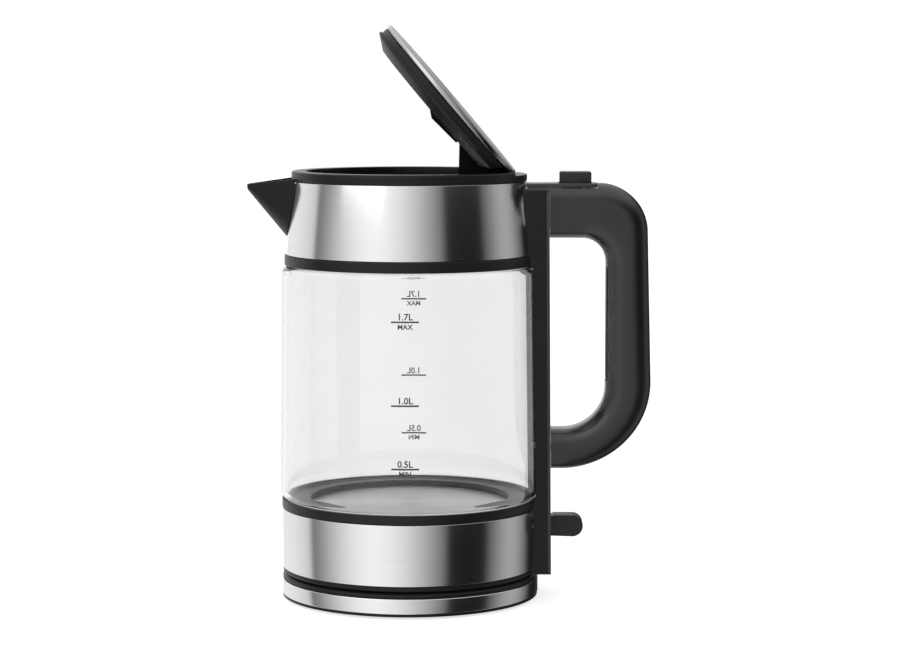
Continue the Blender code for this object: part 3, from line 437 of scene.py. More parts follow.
def loft(name, rings, material=None):
    """Skin rings that have equally many points, with flat caps."""
    shape = bmesh.new()
    rows = [[shape.verts.new(point) for point in ring] for ring in rings]
    count = len(rings[0])
    for lower, upper in zip(rows, rows[1:]):
        for i in range(count):
            j = (i + 1) % count
            shape.faces.new((lower[i], lower[j], upper[j], upper[i]))
    shape.faces.new(rows[0][::-1])
    shape.faces.new(rows[-1])
    bmesh.ops.recalc_face_normals(shape, faces=shape.faces)
    return new_piece(name, shape, material)


def profile_of(node):
    """Return a turned node's outline as (radius, z) points, read in the half-plane x = 0, y > 0."""
    shape = welded(frame["nodes"][node].data, WELD)
    near = 0.03 * MM
    chosen = {v for v in shape.verts if abs(v.co.x) < near and v.co.y > near}
    links = {v: [] for v in chosen}
    for edge in shape.edges:
        first, second = edge.verts
        if first in chosen and second in chosen:
            links[first].append(second)
            links[second].append(first)
    ends = [v for v in chosen if len(links[v]) == 1]
    walk = [max(ends or chosen, key=lambda v: (v.co.z, v.co.y))]
    while True:
        following = [v for v in links[walk[-1]] if v not in walk]
        if not following:
            break
        walk.append(following[0])
    points = [(v.co.y, v.co.z) for v in walk]
    shape.free()
    if ends:
        return [(0.0, points[0][1])] + points + [(0.0, points[-1][1])]
    return points


def eased(points, radius, is_closed):
    """Round the corners of an outline."""
    result = []
    count = len(points)
    for i, here in enumerate(points):
        if not is_closed and i in (0, count - 1):
            result.append(here)
            continue
        before, after = Vector(points[i - 1]), Vector(points[(i + 1) % count])
        corner = Vector(here)
        to_before, to_after = before - corner, after - corner
        reach = min(radius, 0.45 * to_before.length, 0.45 * to_after.length)
        if to_before.length < 1e-7 or to_after.length < 1e-7:
            continue
        if math.degrees(to_before.angle(to_after)) > 172:
            result.append(here)
            continue
        start = corner + to_before.normalized() * reach
        end = corner + to_after.normalized() * reach
        for step in range(5):
            t = step / 4
            point = start * (1 - t) ** 2 + corner * 2 * t * (1 - t) + end * t ** 2
            result.append((point.x, point.y))
    return result


def lathe(name, points, material=None, steps=FINE):
    """Turn an outline about Z: a closed ring, or a solid when it starts and ends on the axis."""
    solid = points[0][0] == 0.0
    shape = bmesh.new()
    rows = []
    for i in range(steps):
        angle = 2 * math.pi * i / steps
        rows.append([None if r == 0.0 else shape.verts.new((r * math.cos(angle), r * math.sin(angle), z))
                     for r, z in points])
    poles = {k: shape.verts.new((0, 0, z)) for k, (r, z) in enumerate(points) if r == 0.0}
    spans = range(len(points) - 1) if solid else range(len(points))
    for i in range(steps):
        here, there = rows[i], rows[(i + 1) % steps]
        for k in spans:
            m = (k + 1) % len(points)
            corners = [here[k] or poles[k], here[m] or poles[m], there[m] or poles[m],
                       there[k] or poles[k]]
            unique = list(dict.fromkeys(corners))
            if len(unique) > 2:
                shape.faces.new(unique)
    bmesh.ops.recalc_face_normals(shape, faces=shape.faces)
    return new_piece(name, shape, material)


def retarget(node, material, radius=EASE, steps=FINE):
    """Turn a node's own profile again, finely and with eased corners."""
    points = profile_of(node)
    return lathe(node + "_fine", eased(points, radius, points[0][0] != 0.0), material, steps)

# ---------------------------------------------------------------- power base


FEET = [f"foot_{i}" for i in (1, 2, 3, 4)]
BASE_SCREWS = [f"base_screw_{i}" for i in (1, 2, 3)]
JUG_SCREWS = [f"jug_screw_{i}" for i in (1, 2, 3)]


def rear_sector(name, half, low, high):
    """Return a box over the rear sector of the power base."""
    return box(name, (58 * MM, -half, low), (80 * MM, half, high))


def build_power_base():
    """Floor pan, feet, steel band, rear block with the cord outlet, cover, post and contacts."""
    block_low, block_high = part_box("base_rear_block")
    half = block_high[1]
    for node in FEET:
        x, y = middle_of(node)[:2]
        low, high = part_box(node)
        foot = rod(f"{node}_fine", (x, y, low[2]), high[2] - low[2], half_of(node, 0), "Z", FOOT_RUBBER)
        seat(ease(foot, 0.5 * MM), node)

    pan = retarget("base_bottom_cover", BLACK)
    cut(pan, rear_sector("pan_rear_cut", half + GAP, 3.6 * MM, 12 * MM))
    under = 1 * MM
    for node in FEET:
        x, y = middle_of(node)[:2]
        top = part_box(node)[1][2]
        cut(pan, rod("foot_pocket", (x, y, -under), top + GAP + under, half_of(node, 0) + GAP))
    for node in BASE_SCREWS:
        x, y = middle_of(node)[:2]
        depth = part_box(node)[0][2] + 2.9 * MM
        cut(pan, rod("head_pocket", (x, y, -under), depth, half_of(node, 0) + GAP))
    seat(pan, "base_bottom_cover")

    band = retarget("base_steel_band", STEEL, 0.5 * MM, FINEST)
    cut(band, rear_sector("band_rear_cut", half + GAP, 0, 20 * MM))
    seat(band, "base_steel_band")

    outer, inner, pan_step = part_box("base_steel_band")[1][1], 66 * MM, 3.9 * MM
    toe = outer - 1.5 * MM
    block = lathe("base_rear_block_fine", eased([
        (inner, block_high[2]), (outer, block_high[2]), (outer, block_low[2]),
        (toe, block_low[2]), (toe, pan_step), (inner, pan_step),
    ], 0.4 * MM, True), BLACK, FINEST)
    combine(block, "INTERSECT", box("block_keep", (50 * MM, -half, 0), (80 * MM, half, 20 * MM)))
    cord_z, cord_r = 7.25 * MM, 3.0 * MM
    cut(block, rod("cord_hole", (60 * MM, 0, cord_z), 20 * MM, cord_r, "X"))
    seat(block, "base_rear_block")

    cover = retarget("base_top_cover", BLACK, 0.5 * MM)
    bosses = []
    for node in BASE_SCREWS:
        x, y = middle_of(node)[:2]
        bosses.append(rod("boss", (x, y, pan_step), 9 * MM, BOSS_R))
        cut(bosses[-1], rod("boss_hole", (x, y, 0), 11 * MM, BOSS_HOLE_R))
    merge(cover, *bosses)
    seat(cover, "base_top_cover")
    seat(retarget("base_connector", BLACK), "base_connector")
    for node in ("base_contact_outer", "base_contact_inner", "base_contact_earth"):
        seat(retarget(node, BRASS, 0.15 * MM, 96), node)


# ---------------------------------------------------------------- jug


def build_jug_floor():
    """Bottom cover, connector, lower band, lower ring, seal and heating plate."""
    cover = retarget("jug_bottom_cover", BLACK, 0.5 * MM)
    below, head_r = 12 * MM, 3.2 * MM
    for node in JUG_SCREWS:
        x, y = middle_of(node)[:2]
        merge(cover, rod("boss", (x, y, 16 * MM), 14 * MM, BOSS_R))
        cut(cover, rod("shank", (x, y, below), 16 * MM, BOSS_HOLE_R),
            rod("head", (x, y, below), 4.4 * MM, head_r))
    seat(cover, "jug_bottom_cover")
    seat(retarget("jug_connector", BLACK), "jug_connector")
    seat(retarget("jug_ring_contact", BRASS, 0.15 * MM, 96), "jug_ring_contact")
    low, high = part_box("jug_centre_pin")
    pin = rod("jug_centre_pin_fine", (0, 0, low[2]), high[2] - low[2], high[0], "Z", BRASS)
    seat(ease(pin, 0.4 * MM), "jug_centre_pin")

    band = retarget("lower_steel_band", STEEL, 0.25 * MM, FINEST)
    slot_half = 7 * MM
    cut(band, box("lever_slot", (60 * MM, -slot_half, 34 * MM), (80 * MM, slot_half, 47 * MM)))
    seat(band, "lower_steel_band")
    seat(retarget("lower_ring", RING_BLACK, 0.5 * MM, FINEST), "lower_ring")
    seat(retarget("lower_glass_seal", SILICONE, 0.3 * MM), "lower_glass_seal")
    seat(retarget("heating_plate", FLOOR_STEEL, 0.3 * MM), "heating_plate")


def pour_window(inner_x):
    """Return the cutter of the pour window, which lies within the spout's own outline."""
    top_z, half, depth, outer_x = 231 * MM, 15 * MM, 25 * MM, -80 * MM
    bowl = arc(0, top_z, half, depth, 180, 360, 49)
    return loft("pour_window", [[(x, y, z) for y, z in bowl] for x in (outer_x, inner_x)])


def build_jug_walls():
    """Glass, seals, upper ring, collar and rim."""
    seat(retarget("glass_body", GLASS, 2.2 * MM, FINEST), "glass_body")
    seat(retarget("upper_glass_seal", SILICONE, 0.3 * MM), "upper_glass_seal")
    seat(retarget("upper_ring", RING_BLACK, 0.4 * MM, FINEST), "upper_ring")

    bolt_half = half_of("latch_bolt")
    slot_half = bolt_half + BOLT_SLOT_GAP
    collar = retarget("upper_steel_collar", STEEL, 0.25 * MM, FINEST)
    cut(collar, pour_window(-50 * MM))
    cut(collar, box("bolt_slot", (50 * MM, -slot_half, BOLT_SLOT_Z[0]),
                    (80 * MM, slot_half, BOLT_SLOT_Z[1])))
    seat(collar, "upper_steel_collar")

    top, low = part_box("top_rim")[1][2], 233.3 * MM
    rim = retarget("top_rim", BLACK, 0.6 * MM, FINEST)
    pin_half = half_of("hinge_pin")
    ear_in, ear_out = pin_half - 3.0 * MM, pin_half + 1.5 * MM
    for side in (-1, 1):
        near, far = spread(side, ear_in, ear_out)
        merge(rim, box("ear", (48.5 * MM, near, 225 * MM), (58 * MM, far, low + 2 * MM)))
    pin_x, _, pin_z = middle_of("hinge_pin")
    bore_half, recess_half = pin_half + GAP, 28.5 * MM
    cut(rim, rod("pin_bore", (pin_x, -bore_half, pin_z), 2 * bore_half, HINGE_BORE_R, "Y"),
        box("rear_recess", (47 * MM, -recess_half, top - 1.8 * MM), (70 * MM, recess_half, top + 5 * MM)))
    cut(rim, box("hinge_notch", (45 * MM, -ear_in + GAP, 224 * MM),
                 (58.6 * MM, ear_in - GAP, top + 5 * MM)),
        pour_window(-40 * MM))
    cut(rim, box("bolt_window", (50 * MM, -bolt_half - 1.5 * MM, 219 * MM),
                 (64 * MM, bolt_half + 1.5 * MM, low - 0.01 * MM)))
    seat(rim, "top_rim")
    pin = rod("hinge_pin_fine", (pin_x, -pin_half, pin_z), 2 * pin_half, 1.5 * MM, "Y", SCREW_STEEL)
    seat(ease(pin, 0.3 * MM), "hinge_pin")


def glass_radius(z):
    """Return the outer radius of the glass at a height."""
    foot_r, head_r = half_of("glass_body"), 71.4 * MM
    foot_z, head_z = 59.5 * MM, 183.5 * MM
    return foot_r + (head_r - foot_r) * (z - foot_z) / (head_z - foot_z)


def level_marks():
    """Printed level marks on both sides of the glass: a line, a number and a word at the ends."""
    layer, line_width, line_height = 0.12 * MM, 15.0 * MM, 0.9 * MM
    for side, facing in (("front", -90.0), ("back", 90.0)):
        for mark, (label, line_z, word) in enumerate((
                ("0.5L", 81.8 * MM, "MIN"), ("1.0L", 115.9 * MM, None), ("1.7L", 160.8 * MM, "MAX"))):
            add_bar(f"level_line_{side}_{mark}", facing, line_width, line_height, line_z, layer)
            add_text(f"level_number_{side}_{mark}", label, 4.9 * MM, facing, line_z + 1.1 * MM, layer)
            if word:
                add_text(f"level_word_{side}_{mark}", word, 3.8 * MM, facing, line_z - 3.9 * MM, layer)


def wrap(piece, facing, layer):
    """Bend a flat print, drawn in X and Z at y = 0, round the glass."""
    turn = math.radians(facing)
    for vertex in piece.data.vertices:
        radius = glass_radius(vertex.co.z) + 0.02 * MM + (layer if vertex.co.y < 0 else 0.0)
        angle = turn + vertex.co.x / radius
        vertex.co = (radius * math.cos(angle), radius * math.sin(angle), vertex.co.z)
    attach(piece, "jug")


def add_bar(name, facing, width, height, z, layer):
    """Print a straight line on the glass."""
    shape = bmesh.new()
    steps = 12
    rows = []
    for y in (-layer, 0.0):
        row = []
        for i in range(steps + 1):
            x = width * (i / steps - 0.5)
            row.append((shape.verts.new((x, y, z - height / 2)), shape.verts.new((x, y, z + height / 2))))
        rows.append(row)
    front, back = rows
    for i in range(steps):
        shape.faces.new((front[i][0], front[i + 1][0], front[i + 1][1], front[i][1]))
        shape.faces.new((back[i][1], back[i + 1][1], back[i + 1][0], back[i][0]))
        shape.faces.new((front[i][1], front[i + 1][1], back[i + 1][1], back[i][1]))
        shape.faces.new((front[i + 1][0], front[i][0], back[i][0], back[i + 1][0]))
    for i in (0, steps):
        shape.faces.new((front[i][0], front[i][1], back[i][1], back[i][0]))
    bmesh.ops.recalc_face_normals(shape, faces=shape.faces)
    wrap(new_piece(name, shape, MARK_GREY), facing, layer)


def add_text(name, words, size, facing, z, layer):
    """Print a short mark on the glass."""
    curve = bpy.data.curves.new(name, "FONT")
    curve.body = words
    curve.size = size
    curve.align_x = "CENTER"
    curve.extrude = layer / 2
    curve.resolution_u = 3
    curve.offset = 0.1 * MM
    shape = welded(curve_mesh(name, curve), 0.001 * MM)
    for vertex in shape.verts:
        x, y, depth = vertex.co
        vertex.co = (x, -layer if depth > 0 else 0.0, y + z)
    bmesh.ops.recalc_face_normals(shape, faces=shape.faces)
    wrap(new_piece(name, shape, MARK_GREY), facing, layer)


def build_spout():
    """Spout beak, open above, and its filter behind the pour window."""
    tip_x, tip_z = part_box("spout")[0][0], 231.3 * MM
    root_x, root_z, root_half = -56.0 * MM, 235.6 * MM, 27.0 * MM
    tip_half, tip_depth = 5.0 * MM, 3.4 * MM
    keel_x, keel_z = -67.5 * MM, 200.8 * MM
    wall = 1.8 * MM
    slope = (tip_z - tip_depth - keel_z) / (tip_x - keel_x)
    rings = []
    steps = 25
    for i in range(steps):
        share = i / (steps - 1)
        x = root_x + (tip_x - root_x) * share
        top = root_z + (tip_z - root_z) * share
        depth = top - (keel_z + slope * (x - keel_x))
        half = root_half + (tip_half - root_half) * share ** 0.85
        outer = arc(0, top, half, depth, 180, 360, 49)
        inner = arc(0, top, half - wall, depth - wall, 360, 180, 49)
        rings.append([(x, y, z) for y, z in outer + inner])
    spout = loft("spout_fine", rings, BLACK)
    collar = profile_of("upper_steel_collar")
    collar_top_r = max(r for r, z in collar if z > 232 * MM) + GAP
    collar_low_r = max(r for r, z in collar if z < 200 * MM) + GAP
    cut(spout, lathe("spout_seat", [
        (0.0, ABOVE_Z), (collar_top_r, ABOVE_Z), (collar_top_r, COLLAR_TOP_Z),
        (collar_low_r, COLLAR_LOW_Z), (0.0, COLLAR_LOW_Z)], None, FINEST))
    rim_r, rim_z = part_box("top_rim")[1][1] + GAP, 232.4 * MM
    cut(spout, lathe("spout_rim_cut", [
        (0.0, ABOVE_Z), (rim_r, ABOVE_Z), (rim_r, rim_z), (0.0, rim_z)], None, FINEST))
    seat(ease(spout, 0.35 * MM, 2), "spout")

    low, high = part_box("spout_filter")
    border, bars_y, bars_z, wire_r = 1.4 * MM, 21, 15, 0.22 * MM
    border_piece = box("spout_filter_fine", low, high)
    cut(border_piece, box("filter_hole", (low[0] - 1 * MM, low[1] + border, low[2] + border),
                          (high[0] + 1 * MM, high[1] - border, high[2] - border)))
    ease(border_piece, 0.25 * MM, 2)
    border_piece.data.materials.append(BLACK)
    seat(border_piece, "spout_filter")
    middle, sunk = (low[0] + high[0]) / 2, border / 2
    shape = bmesh.new()
    for i in range(bars_y):
        x, y = middle + wire_r, low[1] + border + (high[1] - low[1] - 2 * border) * (i + 0.5) / bars_y
        add_strand(shape, (x, y, low[2] + sunk), (x, y, high[2] - sunk), wire_r)
    for i in range(bars_z):
        x, z = middle - wire_r, low[2] + border + (high[2] - low[2] - 2 * border) * (i + 0.5) / bars_z
        add_strand(shape, (x, low[1] + sunk, z), (x, high[1] - sunk, z), wire_r)
    mesh_piece = new_piece("spout_filter_mesh", shape, SCREW_STEEL)
    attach(mesh_piece, "jug")


def add_strand(shape, start, end, radius):
    """Add one straight wire to a mesh."""
    start, end = Vector(start), Vector(end)
    made = bmesh.ops.create_cone(shape, cap_ends=True, segments=8, radius1=radius, radius2=radius,
                                 depth=(end - start).length)
    turn = Vector((0, 0, 1)).rotation_difference(end - start)
    for vertex in made["verts"]:
        vertex.co = turn @ vertex.co + (start + end) / 2


# ---------------------------------------------------------------- lid


def swing(piece):
    """Put a lid piece, modelled closed about the hinge, into its open place."""
    piece.location = HINGE
    piece.rotation_euler = (0, LID_OPEN, 0)
    return apply_all(piece)


def d_ring(radius, chord_x, z, count=97):
    """Return a D-shaped ring about the lid's centre, with its flat side at chord_x."""
    centre_x = -HINGE.x
    turn = math.degrees(math.acos((chord_x - centre_x) / radius))
    return [(x, y, z) for x, y in arc(centre_x, 0, radius, radius, turn, 360 - turn, count)]


def build_lid():
    """Lid: steel plate with a painted highlight on its edge faces, body, inner cover, hinge block with its
    cam, and seal.
    """
    radius, top, edge, rear = 56.0 * MM, 9.2 * MM, 2.3 * MM, -3.4 * MM
    under, skin = top - edge, 0.9 * MM
    plate = loft("lid_top_plate_fine", [d_ring(radius, rear, under), d_ring(radius, rear, top)],
                 PLATE_STEEL)
    plate.data.materials.append(EDGE_HIGHLIGHT_STEEL)
    cut(plate, loft("pocket", [d_ring(radius - skin, rear - skin, under - 1 * MM),
                               d_ring(radius - skin, rear - skin, top - skin)]))
    ease(plate, 0.45 * MM, 3, 50)
    # Every face but the flat top takes the brighter edge steel, which is a painted highlight along the rim.
    for face in plate.data.polygons:
        on_top = face.normal.z > 0.98 and face.center.z > top - 0.1 * MM
        face.material_index = 0 if on_top else 1
    seat(swing(plate), "lid_top_plate")

    body_r, chord_top, chord_side, chord_low = 55.2 * MM, -9 * MM, -13 * MM, -18 * MM
    side_low = under - GAP - 5.5 * MM
    low = side_low - 4.2 * MM
    wall, taper = 2.0 * MM, 7.5 * MM
    # The lid body takes the darker copy of the black plastic as painted shade on its skirt.
    body = loft("lid_body_fine", [d_ring(body_r - taper, chord_low, low),
                                  d_ring(body_r, chord_side, side_low),
                                  d_ring(body_r, chord_top, under - GAP)], SHADE_BLACK)
    cut(body, loft("hollow", [d_ring(body_r - taper - wall, chord_low - wall, low + wall),
                              d_ring(body_r - wall, chord_side - wall, side_low + 0.6 * MM),
                              d_ring(body_r - wall, chord_side - wall, under + 1 * MM)]))
    seat(swing(ease(body, 0.6 * MM, 3)), "lid_body")

    seal_r, seal_chord = body_r + 0.9 * MM, chord_side - 13 * MM
    seal = loft("lid_seal_fine", [d_ring(seal_r, seal_chord, 1.4 * MM),
                                  d_ring(seal_r, seal_chord, 2.8 * MM)], SEAL_BLACK)
    cut(seal, loft("seal_inner", [d_ring(body_r + GAP, chord_side + 0.6 * MM, 0.4 * MM),
                                  d_ring(body_r + GAP, chord_side + 4.6 * MM, 4.8 * MM)]))
    seat(swing(ease(seal, 0.2 * MM, 2)), "lid_seal")

    # The inner cover and the hinge block take the near-black copy as painted shade.
    cover = side_plate("lid_inner_cover_fine", [
        (-60 * MM, low - GAP), (-55 * MM, -6.3 * MM), (-36 * MM, -4.8 * MM), (-36 * MM, low - GAP),
    ], 24 * MM, HINGE_SHADE_BLACK)
    seat(swing(ease(cover, 0.5 * MM)), "lid_inner_cover")

    knuckle_r = 3.8 * MM
    block = side_plate("lid_hinge_block_fine", [
        (-35 * MM, low - GAP),
        (-24.9 * MM, -12.4 * MM),
        (-20.0 * MM, -17.3 * MM),
        (-14.0 * MM, -17.3 * MM),
        (-3.6 * MM, -7.0 * MM),
        *arc(0, 0, knuckle_r, knuckle_r, -90, 90, 25),
        (-4.4 * MM, under - GAP),
        (chord_top + 0.5 * MM, under - GAP),
        (chord_side + 0.5 * MM, side_low - 0.1 * MM),
        (chord_low + 0.3 * MM, low - GAP),
    ], half_of("lid_hinge_block"), HINGE_SHADE_BLACK)
    cam_low_r, cam_r, cam_half = 5.2 * MM, 8.0 * MM, 4.5 * MM
    merge(block, side_plate("cam", [
        (-6 * MM, -6 * MM),
        *arc(0, 0, cam_low_r, cam_low_r, -75, -30, 12),
        *arc(0, 0, cam_r, cam_r, -29, 16, 16),
        (0, 2 * MM),
    ], cam_half))
    for side in (-1, 1):
        near, far = spread(side, 5.2 * MM, 12.5 * MM)
        cut(block, box("gap", (-6.2 * MM, near, -7.5 * MM), (9 * MM, far, 9 * MM)))
    cut(block, rod("bore", (0, -40 * MM, 0), 80 * MM, HINGE_BORE_R, "Y"))
    seat(swing(ease(block, 0.45 * MM, 2)), "lid_hinge_block")


# ---------------------------------------------------------------- handle side


def spine_face(z):
    """Return the X of the spine's outer face at a height."""
    low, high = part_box("spine_housing")
    return high[0] - 1.6 * MM * (z - low[2]) / (high[2] - low[2])


def build_spine():
    """Hollow column behind the jug."""
    low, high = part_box("spine_housing")
    bottom, top = low[2], high[2]
    face_low, face_high = high[0], 77.6 * MM
    half, wall = high[1], 2.2 * MM
    spine = side_plate("spine_housing_fine", [
        (60 * MM, bottom), (face_low, bottom), (face_high, top), (60 * MM, top)],
        half, BLACK, 2 * MM, 6)
    clear = 0.6 * MM
    jug_outline = [
        (65.2 * MM, ABOVE_Z), (65.2 * MM, COLLAR_TOP_Z), (68.9 * MM, 192.7 * MM),
        (69.7 * MM, COLLAR_LOW_Z), (69.7 * MM, 186.4 * MM), (71.4 * MM, 186.3 * MM),
        (73.0 * MM, 56.3 * MM), (71.7 * MM, 56.1 * MM), (71.7 * MM, 0.0)]
    envelope = [(radius + clear, z) for radius, z in jug_outline]
    cut(spine, lathe("envelope", [(0.0, ABOVE_Z), *envelope, (0.0, 0.0)], None, FINEST))
    channel_x = face_high - wall
    slot = half_of("switch_lever") + 0.8 * MM
    bolt_slot = half_of("latch_bolt") + BOLT_SLOT_GAP
    cut(spine, box("channel", (55 * MM, wall - half, bottom + wall), (channel_x, half - wall, top - 10 * MM)))
    cut(spine, box("lever_slot", (60 * MM, -slot, 31 * MM), (90 * MM, slot, 48 * MM)),
        box("bolt_slot", (55 * MM, -bolt_slot, BOLT_SLOT_Z[0]), (90 * MM, bolt_slot, BOLT_SLOT_Z[1])))
    ear_in, ear_thick, ear_half = slot + 0.2 * MM, 2.4 * MM, 4 * MM
    pin_x, pin_z = LEVER_AXIS
    for side in (-1, 1):
        near, far = spread(side, ear_in, ear_in + ear_thick)
        merge(spine, box("ear", (pin_x - 2 * MM, near, pin_z - ear_half),
                         (channel_x + 1 * MM, far, pin_z + ear_half)))
    bore_half = half_of("lever_pin") + GAP
    cut(spine, rod("pin_bore", (pin_x, -bore_half, pin_z), 2 * bore_half, LEVER_BORE_R, "Y"),
        rod("screw_hole", (60 * MM, 0, HANDLE_SCREW_Z), 25 * MM, SCREW_HOLE_R, "X"))
    # The spine's upper right bevel faces take the lighter, glossier copy. This is a painted highlight along
    # that edge, left off lower down where the light fades.
    spine.data.materials.append(SPINE_EDGE_HIGHLIGHT)
    highlight_x, highlight_z = 74 * MM, 96 * MM
    for face in spine.data.polygons:
        is_edge = 0.25 < face.normal.x < 0.97 and abs(face.normal.z) < 0.3
        if is_edge and face.center.x > highlight_x and face.center.z > highlight_z:
            face.material_index = 1
    spine.visible_glossy = False
    seat(spine, "spine_housing")


def corner(centre, reach_x, reach_z, start_deg, end_deg, count):
    """Return a quarter of an ellipse that runs between an upright and a level line."""
    x, z = centre
    return arc(x, z, reach_x - x, abs(reach_z - z), start_deg, end_deg, count)


def handle_outline():
    """Return the D-shaped outline of the handle loop in X and Z."""
    start, arm_top, arm_under = 62 * MM, 232.0 * MM, 201.6 * MM
    low_arm_top, low_arm_under = 95.0 * MM, 72.5 * MM
    return [
        (start, arm_top),
        *corner((105 * MM, 205 * MM), 132.5 * MM, arm_top, 90, 0, 33),
        *corner((84 * MM, 121 * MM), 134.6 * MM, low_arm_under, 0, -90, 49),
        (start, low_arm_under),
        (start, low_arm_top),
        *corner((85 * MM, 119 * MM), GRIP_INNER_X, low_arm_top, -90, 0, 33),
        *corner((96 * MM, 188 * MM), GRIP_INNER_X, arm_under, 0, 90, 25),
        (start, arm_under),
    ]


def build_handle():
    """Handle loop, grip cover and top cap."""
    half, edge = half_of("handle_loop"), 10.0 * MM
    cap_top, cap_end = 232.2 * MM, 104.0 * MM
    loop = side_plate("handle_loop_fine", handle_outline(), half, HANDLE_BLACK, edge, 10)
    spine_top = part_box("spine_housing")[1][2]
    face_top = spine_face(spine_top) + GAP
    low_z, back_x = 50 * MM, 50 * MM
    cut(loop, side_plate("arm_face_cut", [
        (back_x, low_z), (spine_face(low_z) + GAP, low_z), (face_top, spine_top),
        (face_top, ABOVE_Z), (back_x, ABOVE_Z)], 30 * MM))
    low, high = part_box("handle_grip_cover")
    cut(loop, box("grip_hollow", (GRIP_INNER_X - 3 * MM, low[1] - GAP, low[2] - GAP),
                  (GRIP_INNER_X + 15 * MM, high[1] + GAP, high[2] + GAP)))
    hollow_half = 10.3 * MM
    cut(loop, box("arm_hollow", (70 * MM, -hollow_half, 206 * MM),
                  (cap_end - 0.6 * MM, hollow_half, 240 * MM)))
    cap_half = half_of("handle_top_cap")
    cut(loop, box("arm_cap_seat", (70 * MM, -cap_half - GAP, cap_top - 2.8 * MM),
                  (cap_end + GAP, cap_half + GAP, 250 * MM)))
    cut(loop, rod("arm_hole", (70 * MM, 0, HANDLE_SCREW_Z), 25 * MM, SCREW_HOLE_R, "X"))
    merge(loop, box("spring_stop", (98.0 * MM, -4 * MM, 205 * MM), (99.6 * MM, 0.2 * MM, 216 * MM)))
    loop.visible_glossy = False
    seat(loop, "handle_loop")
    # The grip cover takes the darker copy of the black plastic as painted shade.
    cover = box("handle_grip_cover_fine", low, high, SHADE_BLACK)
    seat(ease(cover, 0.9 * MM, 4), "handle_grip_cover")

    low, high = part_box("handle_top_cap")
    front = 58 * MM
    cap = side_plate("handle_top_cap_fine", [
        (front, low[2]), (high[0], low[2]), (high[0], high[2]), (front, high[2])],
        high[1], HANDLE_BLACK, 1.0 * MM, 5)
    below, front_r = 200 * MM, 66.1 * MM
    cut(cap, rod("cap_front_cut", (0, 0, below), 60 * MM, front_r, steps=FINEST))
    hole = 0.4 * MM
    cut(cap, box("button_hole", (BUTTON_X[0] - hole, -BUTTON_HALF - hole, below),
                 (BUTTON_X[1] + hole, BUTTON_HALF + hole, ABOVE_Z)))
    seat(ease(cap, 0.4 * MM, 3), "handle_top_cap")


def build_release():
    """Button with its wedge, and the bolt."""
    (near_x, far_x), half, top = BUTTON_X, BUTTON_HALF, 238.3 * MM
    button = box("lid_button_fine", (near_x, -half, 230 * MM), (far_x, half, top), BUTTON_BLACK)
    ease(button, 0.9 * MM, 4)
    skirt_x, skirt_end = 85 * MM, 96 * MM
    for side in (-1, 1):
        near, far = spread(side, 5.2 * MM, half)
        merge(button, box("skirt", (skirt_x, near, 221 * MM), (skirt_end, far, 232 * MM)))
        near, far = spread(side, 6 * MM, half_of("lid_button"))
        merge(button, box("flange", (skirt_x, near, 227.4 * MM), (skirt_end, far, 229.4 * MM)))
    window_end, slope = 93 * MM, 2.6 / 3.5
    wedge_low, wedge_high, bolt_top = 222 * MM, 231 * MM, 226 * MM
    wedge_x = window_end - 0.5 * MM
    wedge_back = 86.6 * MM
    merge(button, side_plate("wedge", [
        (wedge_back, wedge_high), (wedge_back, wedge_low),
        (wedge_x - slope * (bolt_top - wedge_low), wedge_low),
        (wedge_x + slope * (wedge_high - bolt_top), wedge_high)], 2.0 * MM))
    merge(button, box("leg", (98.3 * MM, 1 * MM, 219.8 * MM), (far_x, half, 231 * MM)))
    seat(button, "lid_button")

    nose_x, end_x, bolt_half, window_half = 60.4 * MM, 95.3 * MM, 4 * MM, 2.5 * MM
    bolt = box("latch_bolt_fine", (nose_x, -bolt_half, 222.8 * MM), (end_x, bolt_half, bolt_top),
               SCREW_STEEL)
    cut(bolt, box("window", (83.5 * MM, -window_half, 200 * MM), (window_end, window_half, 240 * MM)))
    merge(bolt, box("lug", (81 * MM, -bolt_half, 209.5 * MM), (82.6 * MM, bolt_half, 224 * MM)))
    seat(ease(bolt, 0.3 * MM, 2), "latch_bolt")


def coil(name, start, axis, length, radius, wire_radius, turns=6):
    """Make a spring: a round wire wound about an axis along +X or +Z."""
    curve = bpy.data.curves.new(name, "CURVE")
    curve.dimensions = "3D"
    curve.bevel_depth = wire_radius
    curve.bevel_resolution = 3
    curve.use_fill_caps = True
    per_turn = 24
    steps = turns * per_turn
    spline = curve.splines.new("POLY")
    spline.points.add(steps)
    for i, point in enumerate(spline.points):
        angle = 2 * math.pi * i / per_turn
        across, up, along = radius * math.cos(angle), radius * math.sin(angle), length * i / steps
        local = (across, up, along) if axis == "Z" else (along, up, across)
        point.co = (*(Vector(start) + Vector(local)), 1.0)
    mesh = curve_mesh(name, curve)
    mesh.materials.append(SCREW_STEEL)
    piece = bpy.data.objects.new(name, mesh)
    bpy.context.scene.collection.objects.link(piece)
    return piece


def build_springs():
    """Return springs of the button and the bolt, each with a mesh of its own; the real springs shorten as the
    button goes down.
    """
    wire = 0.4 * MM
    low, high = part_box("button_spring")
    spring = coil("button_spring_fine", (*BUTTON_SPRING_XY, low[2] + wire), "Z",
                  high[2] - low[2] - 2 * wire, 2.0 * MM, wire)
    seat(spring, "button_spring")
    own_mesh(spring)
    low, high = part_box("latch_spring")
    spring = coil("latch_spring_fine", (low[0] + wire, 0, LATCH_SPRING_Z), "X",
                  high[0] - low[0] - 2 * wire, 2.2 * MM, wire)
    seat(spring, "latch_spring")
    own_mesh(spring)


